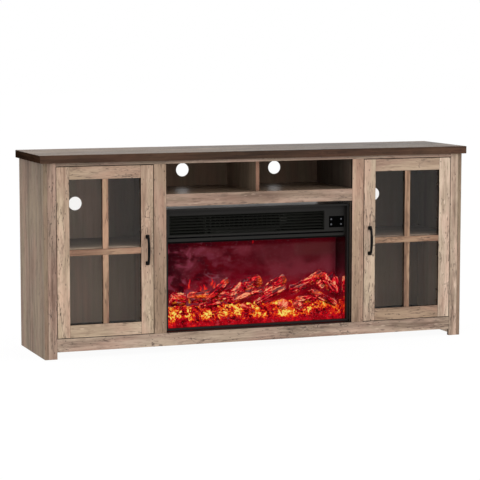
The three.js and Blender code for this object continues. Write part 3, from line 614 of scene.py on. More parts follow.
def brushed(name, colour, rough, axis="Z"):
    t = Tree(name)
    x, y, z = t.split(t.coords())
    k = {"X": (30, 1400, 1400), "Y": (1400, 30, 1400), "Z": (1400, 1400, 30)}[axis]
    v = t.join(t.math("MULTIPLY", x, k[0]), t.math("MULTIPLY", y, k[1]), t.math("MULTIPLY", z, k[2]))
    lines = t.noise(v, 1.0, 3, 0.6)
    cloud = t.noise(t.coords(), 40.0, 3, 0.5)
    t.principled(
        Base_Color=t.mix(t.step(cloud, 0.3, 0.7), scaled(colour, 0.86), scaled(colour, 1.06)),
        Metallic=1.0,
        Roughness=t.step(lines, 0.3, 0.7, rough - 0.06, rough + 0.1),
        Normal=t.bump(lines, 0.00003, 0.5),
    )
    return t.mat


def pane(name, tint, ior, shine, rough=0.015):
    """A thin pane: what is behind it shows through, with the glass's own reflection over it."""
    t = Tree(name)
    # the same from either side, so that the pane is never a mirror from within
    facing = t.add("ShaderNodeLayerWeight")
    facing.inputs["Blend"].default_value = 0.5
    f0 = ((ior - 1) / (ior + 1)) ** 2
    fres = t.math("ADD", t.math("MULTIPLY", t.math("POWER", facing.outputs["Facing"], 5.0), 1 - f0), f0)
    clear = t.add("ShaderNodeBsdfTransparent")
    clear.inputs["Color"].default_value = (*tint, 1)
    gloss = t.add("ShaderNodeBsdfGlossy")
    gloss.inputs["Color"].default_value = (shine, shine, shine, 1)
    gloss.inputs["Roughness"].default_value = rough
    m = t.add("ShaderNodeMixShader")
    t.put(m.inputs[0], fres)
    t.put(m.inputs[1], clear.outputs[0])
    t.put(m.inputs[2], gloss.outputs[0])
    t.nt.links.new(m.outputs[0], t.out.inputs[0])
    return t.mat


steel = brushed("nickel_plated_steel", (0.60, 0.60, 0.61), 0.30)
foil = brushed("bright_sheet", (0.72, 0.72, 0.74), 0.22, "X")
black_metal = coated("black_pull_metal", srgb(7, 7, 7), 0.42, 0.10, grain=1400, depth=0.00002)
black_paint = coated("black_powder_coat", srgb(26, 24, 22), 0.48, 0.17)
panel_black = coated("panel_gloss_black", srgb(2, 2, 2), 0.25, 0.01, grain=300, depth=0.00001)
sheet_black = coated("dark_sheet_metal", srgb(34, 34, 36), 0.5, 0.3)
vent_black = coated("vent_black", srgb(34, 34, 31), 0.80, 0.02)
# The blower housing, the air chamber and the heater fins behind the vent grille are lighter greys than black sheet:
# painted light, so that the grille's gaps are not black.
housing_black = coated("blower_housing_sheet", srgb(84, 84, 79), 0.7, 0.1)
chamber = coated("air_chamber_sheet", srgb(66, 66, 62), 0.7, 0.1)
case_top = coated("case_top_sheet", srgb(34, 34, 35), 0.34, 0.25, grain=60, depth=0.00001)
button_mat = coated("button_plastic", srgb(74, 76, 80), 0.45, 0.4, grain=2200, depth=0.00002)
plastic_brown = coated("clip_plastic", srgb(96, 83, 73), 0.5, 0.2, grain=1800, depth=0.00003)
plastic_dark = coated("inlet_plastic", srgb(28, 28, 29), 0.45, 0.35, grain=1800, depth=0.00003)
fan_black = coated("fan_plastic", srgb(22, 22, 23), 0.5, 0.25, grain=800, depth=0.00003)
# The heater fins are a lighter grey: painted light behind the vent grille.
fin_black = coated("heater_fins", srgb(48, 47, 45), 0.65, 0.10, grain=1200, depth=0.00002)
door_glass = pane("door_glass", (0.972, 0.966, 0.956), 1.45, 0.40)
fire_glass = pane("fire_glass", (0.95, 0.90, 0.91), 1.30, 0.035)

for n in NODES:
    if n.endswith("hinge_cup") or n.endswith("hinge_plate"):
        set_mat(n, steel)
        bevel(n, 0.35, 2)
    elif n.endswith("_door_glass"):
        set_mat(n, door_glass)
set_mat("insert_glass", fire_glass)
for n, m in {
    "insert_front_frame": black_paint,
    "insert_case": sheet_black,
    "vent_grille": vent_black,
    "control_panel": panel_black,
    "blower_housing": housing_black,
    "blower_impeller": fan_black,
    "heater_element": fin_black,
    "flame_rotor": foil,
    "flame_motor": steel,
    "power_inlet": plastic_dark,
    "left_door_pull": black_metal,
    "right_door_pull": black_metal,
    "log_set": sheet_black,
    "ember_bed": sheet_black,
    "flame_screen": sheet_black,
}.items():
    set_mat(n, m)
for n in ("power_button", "flame_button", "heat_button", "timer_button"):
    set_mat(n, button_mat)
bevel("insert_front_frame", 0.7, 3)
bevel("control_panel", 0.5, 2)
bevel("vent_grille", 0.25, 1)
bevel("insert_case", 0.3, 1)


def mirror_sheet():
    """Polished inner side walls of the firebox, clearer low down, smoked towards the top."""
    t = Tree("firebox_side_sheet")
    x, y, z = t.split(t.coords())
    drift = t.noise(t.coords(), 18.0, 3, 0.5)
    lines = t.noise(t.join(t.math("MULTIPLY", x, 40.0), t.math("MULTIPLY", y, 160.0), t.math("MULTIPLY", z, 3.0)), 1.0, 3, 0.6)
    low = t.step(z, 0.30, 0.24)
    col = t.mix(low, (0.16, 0.13, 0.14), (0.88, 0.84, 0.84))
    col = t.mix(t.step(lines, 0.45, 0.7, 0.0, 0.4), col, scaled((0.5, 0.42, 0.44), 0.4))
    t.principled(Base_Color=col, Metallic=1.0, Roughness=t.step(drift, 0.3, 0.7, 0.05, 0.12))
    return t.mat


face_mat("insert_case", case_top, lambda x, y, z, nx, ny, nz: nz > 0.7 and z > 545)
face_mat("insert_case", chamber, lambda x, y, z, nx, ny, nz: z > 436 and (ny < -0.7 or nz < -0.7 or (nz > 0.7 and z < 540) or (abs(nx) > 0.7 and abs(x) < 379.5)))
face_mat("insert_case", mirror_sheet(), lambda x, y, z, nx, ny, nz: abs(nx) > 0.7 and 377 < abs(x) < 379.5 and 75 < z < 434.5)
# Near-black on the faces of the groove over the glass and of the lip under the bar: painted shade.
slot_black = coated("air_slot_black", srgb(6, 6, 6), 0.8, 0.05)
face_mat("insert_front_frame", slot_black, lambda x, y, z, nx, ny, nz: (418 < z < 425.7 and ny < -0.7 and abs(x) < 376 and y > 39) or (abs(nz) > 0.7 and 436 < z < 444 and abs(x) < 372))
bevel("power_inlet", 0.6, 2)


# ------------------------------------------------------------------ mesh helpers
def new_object(name, verts, faces, mats, smooth=True, body="cabinet"):
    me = bpy.data.meshes.new(name)
    me.from_pydata([tuple(v) for v in verts], [], faces)
    me.validate()
    me.update()
    for m in mats if isinstance(mats, (list, tuple)) else [mats]:
        me.materials.append(m)
    if smooth:
        for p in me.polygons:
            p.use_smooth = True
    o = bpy.data.objects.new(name, me)
    scene.collection.objects.link(o)
    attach(o, body)
    return o


class Builder:
    """Collects vertices and faces of several closed shells into one mesh."""

    def __init__(self):
        self.v, self.f = [], []

    def rings(self, rings, close=True):
        """Closed loops of equal length joined in a row; the ends are capped with a fan."""
        base = len(self.v)
        n = len(rings[0])
        for r in rings:
            self.v += [Vector(p) for p in r]
        for i in range(len(rings) - 1):
            for j in range(n):
                k = (j + 1) % n
                self.f.append((base + i * n + j, base + i * n + k, base + (i + 1) * n + k, base + (i + 1) * n + j))
        if close:
            for i, flip in ((0, True), (len(rings) - 1, False)):
                mid = len(self.v)
                self.v.append(sum((Vector(p) for p in rings[i]), Vector()) / n)
                for j in range(n):
                    k = (j + 1) % n
                    a, b = base + i * n + j, base + i * n + k
                    self.f.append((mid, b, a) if flip else (mid, a, b))

    def lathe(self, origin, axis, profile, n=32):
        """profile is (radius, distance along axis); the first and last radius may be 0."""
        axis = Vector(axis).normalized()
        side = axis.orthogonal().normalized()
        other = axis.cross(side)
        rings = []
        for r, d in profile:
            r = max(r, 1e-5)
            rings.append(
                [
                    Vector(origin) + axis * d + (side * math.cos(2 * math.pi * j / n) + other * math.sin(2 * math.pi * j / n)) * r
                    for j in range(n)
                ]
            )
        self.rings(rings)

    def object(self, name, mats, body="cabinet", smooth=True):
        return new_object(name, self.v, self.f, mats, smooth, body)


def auto_smooth(o, angle=35):
    """Sharp edges stay sharp on a smooth-shaded mesh."""
    bm = bmesh.new()
    bm.from_mesh(o.data)
    bmesh.ops.recalc_face_normals(bm, faces=bm.faces)
    for e in bm.edges:
        if len(e.link_faces) == 2 and e.calc_face_angle(0) > math.radians(angle):
            e.smooth = False
    bm.to_mesh(o.data)
    bm.free()
    return o


# ------------------------------------------------------------------ bow pulls
def rounded(w, power):
    c, q = math.cos(w), math.sin(w)
    return math.copysign(abs(c) ** power, c), math.copysign(abs(q) ** power, q)


def bow_pull(side, s):
    x = s * 466.5
    z0, z1, out = 353.0, 455.0, 21.6
    mid, reach = (z0 + z1) / 2, (z1 - z0) / 2
    b = Builder()
    # One swept bar: out of one foot, round the elbow, along the bow and back into the other foot.
    pts, rad = [], []
    for i in range(97):
        t = -1 + 2 * i / 96
        if abs(t) > 0.86:  # the elbow
            q = (abs(t) - 0.86) / 0.14
            ang = q * math.pi / 2
            zz = reach - 9 + 9 * math.sin(ang)
            yy = -(out - 5.5 - 9 + 9 * math.cos(ang))
            rr = 4.5
        else:
            u = t / 0.86
            zz = abs(u) * (reach - 9)
            yy = -(out - 5.5 * abs(u) ** 2)
            rr = 4.5 + 0.7 * math.cos(u * math.pi / 2) ** 2
        pts.append(Vector((0, yy, math.copysign(zz, t))))
        rad.append(rr)
    pts = [Vector((0, -0.6, -reach))] + pts + [Vector((0, -0.6, reach))]
    rad = [5.2] + rad + [5.2]
    rings = []
    n = 32
    for i, p in enumerate(pts):
        a = pts[max(i - 1, 0)]
        c = pts[min(i + 1, len(pts) - 1)]
        d = (c - a).normalized()
        nx = Vector((1, 0, 0))
        ny = d.cross(nx).normalized()
        ring = []
        for j in range(n):
            cu, cv = rounded(2 * math.pi * j / n, 0.62)
            ring.append(F(x, 0, mid) + (nx * cu * rad[i] + ny * cv * rad[i] * 0.92 + p) / 1000)
        rings.append(ring)
    b.rings(rings)
    # square feet with softened edges
    for z in (z0, z1):
        foot = []
        for half, y in ((0.5, -0.3), (7.2, -0.3), (7.5, -0.8), (7.5, -5.6), (7.1, -6.6), (6.2, -7.2), (4.6, -7.6), (0.5, -7.7)):
            ring = []
            for j in range(n):
                cu, cv = rounded(2 * math.pi * j / n, 0.28)
                ring.append(F(x + cu * half, y, z + cv * half))
            foot.append(ring)
        b.rings(foot)
    o = b.object(side + "_bow_pull", black_metal, side + "_door")
    auto_smooth(o, 45)
    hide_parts(side + "_door_pull")
    return o


bow_pull("left", -1)
bow_pull("right", 1)


# ------------------------------------------------------------------ small fittings
def box_shell(b, xs, ys, zs, r=0.3):
    """A small block with its edges eased, as a stack of three rings."""
    (x0, x1), (y0, y1), (z0, z1) = sorted(xs), sorted(ys), sorted(zs)
    rings = []
    for inset, z in ((r, z0), (0, z0 + r), (0, z1 - r), (r, z1)):
        rings.append([F(x0 + inset, y0 + inset, z), F(x1 - inset, y0 + inset, z), F(x1 - inset, y1 - inset, z), F(x0 + inset, y1 - inset, z)])
    b.rings(rings)


def screw(b, at, axis, r=3.4, tall=1.1):
    """A pan head with a round dimple for the driver."""
    k = r / 1000
    b.lathe(at, axis, [(0, 0), (k, 0), (k, 0.0003), (k * 0.93, tall * 0.0006), (k * 0.72, tall * 0.0009), (k * 0.40, tall * 0.001), (k * 0.34, tall * 0.0010), (k * 0.26, tall * 0.0004), (0, tall * 0.0004)], 20)


fit_c = Builder()  # steel, on the cabinet
nail_c = Builder()
for s in (-1, 1):
    side = "left" if s < 0 else "right"
    fit_d = Builder()
    clips = Builder()
    for z in (162, 647):
        # wood screws of the plate on the side panel, and of the cup flange on the door
        for dz in (-16, 16):
            screw(fit_c, F(s * 856.05, 30, z + dz), (-s, 0, 0))
            screw(fit_c, F(s * 856.05, 74, z + dz), (-s, 0, 0))
            screw(fit_d, F(s * 802.7, 19.85, z + dz * 1.2), (0, 1, 0), 3.0)
    # pane clips, each with its screw
    for z in (190, 330, 480, 620):
        for x0 in (484.0, 781.2):
            box_shell(clips, (s * (x0 - 8), s * (x0 + 8)), (18.15, 19.5), (z - 5, z + 5))
            inner = x0 - 4.4 if x0 < 600 else x0 + 4.4
            screw(fit_d, F(s * inner, 19.5, z), (0, 1, 0), 2.4, 0.9)
    # strike plate of the magnetic catch
    box_shell(fit_d, (s * 456, s * 476), (18.15, 19.3), (82.5, 91.5))
    o = fit_d.object(side + "_door_screws", steel, side + "_door")
    auto_smooth(o, 40)
    o = clips.object(side + "_pane_clips", plastic_brown, side + "_door")
    auto_smooth(o, 40)
    # shelf pins
    for y in (62, 326):
        for x0, d in ((858.9, -1), (405.1, 1)):
            at = F(s * x0, y, 399.9)
            fit_c.lathe(at, (s * d, 0, 0), [(0, 0.0001), (0.0036, 0.0001), (0.0036, 0.0014), (0.0024, 0.0016), (0.0024, 0.0088), (0.0020, 0.0094), (0, 0.0095)], 20)
    # rows of bare holes for the pins, above and below the shelf
    for y in (62, 326):
        for dz in (-64, -32, 32, 64):
            for x0, d in ((858.95, -1), (405.05, 1)):
                nail_c.lathe(F(s * x0, y, 400 + dz), (s * d, 0, 0), [(0, 0), (0.0025, 0), (0.0025, 0.00012), (0, 0.00012)], 16)
    # small nails along the back panels
    for k in range(7):
        for x0 in (409.0, 852.5):
            nail_c.lathe(F(s * x0, 368.0, 100 + k * 103), (0, 1, 0), [(0, 0), (0.0022, 0), (0.0020, 0.0005), (0, 0.0006)], 14)
    for k in range(4):
        for z in (70.5, 738.0):
            nail_c.lathe(F(s * (450 + k * 120), 368.0, z), (0, 1, 0), [(0, 0), (0.0022, 0), (0.0020, 0.0005), (0, 0.0006)], 14)
    for k in range(3):
        for z in (604.0, 738.0):
            nail_c.lathe(F(s * (60 + k * 140), 368.0, z), (0, 1, 0), [(0, 0), (0.0022, 0), (0.0020, 0.0005), (0, 0.0006)], 14)
    # brackets that hold the insert to the partitions, and the case's own screws
    for z in (180, 470):
        box_shell(fit_c, (s * 380.15, s * 381.4), (150, 200), (z, z + 18))
        box_shell(fit_c, (s * 388.4, s * 389.7), (150, 200), (z, z + 18))
        box_shell(fit_c, (s * 380.15, s * 389.7), (198.6, 200), (z, z + 18))
    for z in (95, 200, 320, 425, 535):
        screw(fit_c, F(s * 366, 205.0, z), (0, 1, 0), 3.0)
for x in (-250, -120, 20, 150, 250):
    screw(fit_c, F(x, 205.0, 536), (0, 1, 0), 3.0)
    screw(fit_c, F(x, 205.0, 92), (0, 1, 0), 3.0)
o = fit_c.object("cabinet_fittings", steel)
auto_smooth(o, 40)
o = nail_c.object("back_nails", plastic_dark)
auto_smooth(o, 40)
catches = Builder()
for s in (-1, 1):
    box_shell(catches, (s * 452, s * 480), (21, 40), (77.3, 93), 0.6)
    box_shell(catches, (s * 458, s * 474), (20.0, 21.2), (81, 91), 0.2)
o = catches.object("magnetic_catches", plastic_dark)
auto_smooth(o, 40)
# three flat pins in the supply inlet
pins = Builder()
for x in (296, 305, 314):
    box_shell(pins, (x - 1, x + 1), (205 + 5.1, 205 + 14), (498, 502), 0.2)
o = pins.object("inlet_pins", steel)
auto_smooth(o, 40)


# ------------------------------------------------------------------ the fire
def seen(t, p, y0):
    """x and z of a point carried to the plane y = y0 (fit millimetres) along the photo's line of sight."""
    x, y, z = t.split(p)
    dy = t.math("SUBTRACT", y, y0 / 1000 - YC)
    xs = t.math("SUBTRACT", x, t.math("MULTIPLY", dy, t.math("MULTIPLY", t.math("ADD", x, 2.627), 1 / 6.82)))
    zs = t.math("ADD", z, t.math("MULTIPLY", dy, t.math("MULTIPLY", t.math("SUBTRACT", 1.228, z), 1 / 6.82)))
    return xs, zs


def screen_material():
    """Dark red translucent screen with smoke and a few thin tongues of flame thrown on it, and a painted reflection of
    a window in its upper part.
    """
    t = Tree("flame_screen_glow")
    x, y, z = t.split(t.coords())
    smoke = t.noise(t.join(t.math("MULTIPLY", x, 6.0), 0.0, t.math("MULTIPLY", z, 9.0)), 1.0, 5, 0.6, 0.5)
    wisp = t.noise(t.join(t.math("MULTIPLY", x, 16.0), 0.0, t.math("MULTIPLY", z, 34.0)), 1.0, 4, 0.6, 1.2)
    base = t.ramp(
        t.math("DIVIDE", t.math("SUBTRACT", z, 0.13), 0.29),
        [
            (0.0, srgb(168, 4, 14)),
            (0.32, srgb(140, 4, 24)),
            (0.46, srgb(104, 4, 22)),
            (0.64, srgb(80, 6, 18)),
            (0.82, srgb(76, 8, 18)),
            (0.92, srgb(68, 0, 8)),
            (1.0, srgb(56, 0, 4)),
        ],
    )
    top = t.step(z, 0.396, 0.382)
    base = t.mix(t.math("MULTIPLY", top, t.step(smoke, 0.46, 0.60, 0.0, 0.80)), base, srgb(108, 40, 50))
    base = t.mix(t.step(smoke, 0.49, 0.36, 0.0, 0.75), base, srgb(84, 0, 10))
    cloud = t.noise(t.join(t.math("MULTIPLY", x, 13.0), 0.0, t.math("MULTIPLY", z, 19.0)), 1.0, 4, 0.6, 0.8)
    base = t.mix(t.math("MULTIPLY", t.math("MULTIPLY", top, t.step(cloud, 0.50, 0.60)), t.step(x, 0.0, -0.30, 0.12, 0.90)), base, srgb(116, 50, 66))
    base = t.mix(t.math("MULTIPLY", t.step(cloud, 0.49, 0.38), t.step(x, 0.0, -0.30, 0.30, 0.95)), base, srgb(36, 0, 8))
    base = t.mix(t.math("MULTIPLY", t.step(wisp, 0.60, 0.74), t.step(x, 0.05, -0.25, 0.15, 0.55)), base, srgb(136, 92, 104))
    # a painted reflection of a window in the upper part, greyer from the middle towards the right and browner at the
    # right; darker at both ends
    base = t.mix(t.math("MULTIPLY", top, t.math("MULTIPLY", t.step(x, 0.00, 0.08), t.step(z, 0.290, 0.345, 0.0, 0.55))), base, srgb(76, 28, 32))
    base = t.mix(t.math("MULTIPLY", top, t.math("MULTIPLY", t.step(x, 0.19, 0.20), t.step(z, 0.335, 0.345, 0.0, 0.30))), base, srgb(78, 48, 44))
    left = t.math("MULTIPLY", t.step(x, -0.16, -0.34), t.step(z, 0.200, 0.260))
    veil = t.math("MULTIPLY", left, t.step(cloud, 0.60, 0.47, 0.0, 0.78))
    base = t.mix(veil, base, srgb(32, 0, 7))
    base = t.mix(t.math("MULTIPLY", left, t.step(cloud, 0.56, 0.66, 0.0, 0.5)), base, srgb(132, 40, 62))
    base = t.mix(t.math("MULTIPLY", t.step(x, -0.26, -0.365), t.step(cloud, 0.62, 0.46, 0.30, 0.80)), base, srgb(30, 0, 6))
    base = t.mix(t.math("MULTIPLY", t.step(x, 0.345, 0.378), 0.55), base, srgb(24, 2, 8))
    # tongues: (x, base z, height, half width)
    wav = t.noise(t.join(t.math("MULTIPLY", x, 14.0), 0.0, t.math("MULTIPLY", z, 30.0)), 1.0, 3, 0.55)
    sway = t.math("MULTIPLY", t.math("SUBTRACT", wav, 0.5), 0.036)
    glow, core = None, None
    for fx, fz, h, w in [
        (-0.250, 0.244, 0.026, 0.0040),
        (-0.205, 0.220, 0.022, 0.0044),
        (-0.186, 0.226, 0.020, 0.0056),
        (-0.178, 0.213, 0.020, 0.0066),
        (-0.158, 0.249, 0.021, 0.0042),
        (-0.146, 0.236, 0.018, 0.0040),
        (0.020, 0.407, 0.016, 0.0020),
    ]:
        u = t.math("DIVIDE", t.math("SUBTRACT", z, fz), h)
        taper = t.math("MAXIMUM", t.math("SUBTRACT", 1.0, u), 0.0)
        width = t.math("MULTIPLY", t.math("POWER", taper, 0.8), w)
        dx = t.math("ABSOLUTE", t.math("ADD", t.math("SUBTRACT", x, fx), sway))
        f = t.math("MULTIPLY", t.step(t.math("SUBTRACT", width, dx), -0.0015, 0.003), t.step(u, -0.9, -0.2))
        g = t.math("MULTIPLY", f, t.step(u, 1.0, 0.55))
        glow = g if glow is None else t.math("MAXIMUM", glow, g)
        c = t.math("MULTIPLY", t.step(t.math("SUBTRACT", width, dx), 0.001, 0.005), t.math("MULTIPLY", t.step(u, 0.7, 0.1), t.step(u, -0.9, -0.2)))
        core = c if core is None else t.math("MAXIMUM", core, c)
    col = t.mix(t.math("MULTIPLY", glow, 0.9), base, (0.80, 0.003, 0.014))
    col = t.mix(t.math("MULTIPLY", core, 0.6), col, (1.0, 0.10, 0.02))
    t.principled(
        Base_Color=(0.02, 0.002, 0.003),
        Roughness=0.35,
        Specular_IOR_Level=0.02,
        Emission_Color=col,
        Emission_Strength=1.0,
    )
    return t.mat


def heat_colour(t, heat):
    return t.ramp(
        heat,
        [
            (0.00, (0.055, 0.0004, 0.001)),
            (0.14, (0.180, 0.0006, 0.003)),
            (0.30, (0.370, 0.0030, 0.010)),
            (0.45, (0.580, 0.0060, 0.014)),
            (0.58, (0.820, 0.0140, 0.010)),
            (0.71, (0.960, 0.120, 0.006)),
            (0.83, (1.0, 0.330, 0.014)),
            (0.92, (1.0, 0.600, 0.050)),
            (1.00, (1.0, 0.900, 0.180)),
        ],
    )


HOT = [  # x, z as seen at y = 56, half width, half height, heat
    (-0.329, 0.138, 0.022, 0.020, 0.80),
    (-0.349, 0.116, 0.016, 0.012, 0.35),
    (-0.279, 0.150, 0.008, 0.050, 0.95),
    (-0.229, 0.127, 0.022, 0.014, 0.45),
    (-0.197, 0.137, 0.018, 0.015, 0.72),
    (-0.146, 0.134, 0.030, 0.014, 0.50),
    (-0.121, 0.163, 0.018, 0.012, 0.55),
    (-0.082, 0.135, 0.022, 0.018, 0.66),
    (-0.044, 0.172, 0.026, 0.020, 0.50),
    (-0.010, 0.160, 0.020, 0.018, 0.38),
    (-0.005, 0.122, 0.020, 0.012, 0.42),
    (0.040, 0.120, 0.026, 0.012, 0.34),
    (0.096, 0.167, 0.020, 0.010, 0.62),
    (0.137, 0.180, 0.022, 0.009, 0.52),
    (0.118, 0.125, 0.020, 0.013, 0.90),
    (0.216, 0.122, 0.024, 0.013, 0.42),
    (0.266, 0.143, 0.030, 0.015, 0.62),
    (0.315, 0.172, 0.016, 0.014, 0.42),
    (0.331, 0.146, 0.014, 0.013, 0.42),
]


def regional_heat(t, x, z, spots=HOT):
    total = None
    for hx, hz, wx, wz, k in spots:
        dx = t.math("DIVIDE", t.math("SUBTRACT", x, hx), wx)
        dz = t.math("DIVIDE", t.math("SUBTRACT", z, hz), wz)
        d = t.math("ADD", t.math("MULTIPLY", dx, dx), t.math("MULTIPLY", dz, dz))
        g = t.math("MULTIPLY", t.math("EXPONENT", t.math("MULTIPLY", d, -1.0)), k)
        total = g if total is None else t.math("ADD", total, g)
    return total


def ember_material():
    """Cast coals lit from below: yellow and orange where the heap is hot, crimson to black elsewhere."""
    t = Tree("ember_glow")
    p = t.coords()
    x, z = seen(t, p, 56)
    mid = t.noise(p, 74.0, 3, 0.62, 0.7)
    broad = t.noise(p, 22.0, 3, 0.55)
    fine = t.noise(p, 150.0, 3, 0.6)
    coal = t.add("ShaderNodeAttribute", attribute_name="coal").outputs["Fac"]
    n = t.math("ADD", mid, t.math("MULTIPLY", t.math("SUBTRACT", broad, 0.5), 0.80))
    n = t.math("ADD", n, t.math("MULTIPLY", t.math("SUBTRACT", fine, 0.5), 0.30))
    n = t.math("SUBTRACT", t.math("ADD", n, t.math("MULTIPLY", t.math("SUBTRACT", coal, 0.5), 0.12)), 0.5)
    hot = t.math("MINIMUM", t.math("MULTIPLY", regional_heat(t, x, z), 1.25), 1.0)
    # red and even where it is cold, broken into dark and yellow where it is hot
    h = t.math("ADD", t.math("MULTIPLY", n, t.math("ADD", t.math("MULTIPLY", hot, 1.9), 2.0)), t.math("ADD", t.math("MULTIPLY", hot, 0.50), 0.45))
    seam = t.math("ABSOLUTE", t.math("SUBTRACT", t.noise(p, 78.0, 3, 0.6), 0.5))
    h = t.math("SUBTRACT", h, t.step(seam, 0.034, 0.008, 0.0, 0.42))
    low = t.step(z, 0.113, 0.099)
    h = t.math("ADD", t.math("MULTIPLY", h, t.math("SUBTRACT", 1.0, t.math("MULTIPLY", low, 0.6))), t.math("MULTIPLY", low, 0.18))
    col = heat_colour(t, t.math("MAXIMUM", t.math("MINIMUM", h, 1.0), 0.0))
    # a little pale ash on the cold coals
    ash = t.math("MULTIPLY", t.step(t.noise(p, 60.0, 4, 0.6), 0.58, 0.70), t.step(h, 0.50, 0.25))
    col = t.mix(t.math("MULTIPLY", ash, 0.55), col, srgb(196, 78, 84))
    t.principled(
        Base_Color=t.mix(ash, (0.012, 0.0003, 0.0006), (0.06, 0.012, 0.016)),
        Roughness=0.8,
        Specular_IOR_Level=0.02,
        Emission_Color=col,
        Emission_Strength=1.0,
        Normal=t.bump(fine, 0.0015, 0.7),
    )
    return t.mat


def log_colour(t, v):
    return t.ramp(
        v,
        [
            (0.00, (0.105, 0.0003, 0.0012)),
            (0.18, (0.150, 0.0006, 0.0025)),
            (0.32, (0.270, 0.0015, 0.0070)),
            (0.45, (0.460, 0.0030, 0.0150)),
            (0.60, (0.680, 0.0060, 0.0220)),
            (0.76, (0.880, 0.0120, 0.0280)),
            (0.88, (1.000, 0.0700, 0.0500)),
            (1.00, (1.000, 0.4200, 0.2100)),
        ],
    )


LOG_HOT = [  # the same for the logs
    (-0.232, 0.206, 0.036, 0.0060, 0.95),
    (0.019, 0.254, 0.010, 0.018, 0.75),
    (0.127, 0.254, 0.009, 0.015, 0.85),
    (0.104, 0.171, 0.030, 0.0065, 1.0),
    (0.160, 0.180, 0.024, 0.0055, 1.0),
    (0.276, 0.197, 0.022, 0.0065, 0.9),
    (0.262, 0.263, 0.026, 0.0050, 0.6),
    (0.374, 0.224, 0.006, 0.032, 0.9),
    (-0.126, 0.258, 0.010, 0.007, 0.6),
    (-0.324, 0.204, 0.014, 0.0045, 0.5),
    (-0.050, 0.176, 0.026, 0.006, 0.7),
]


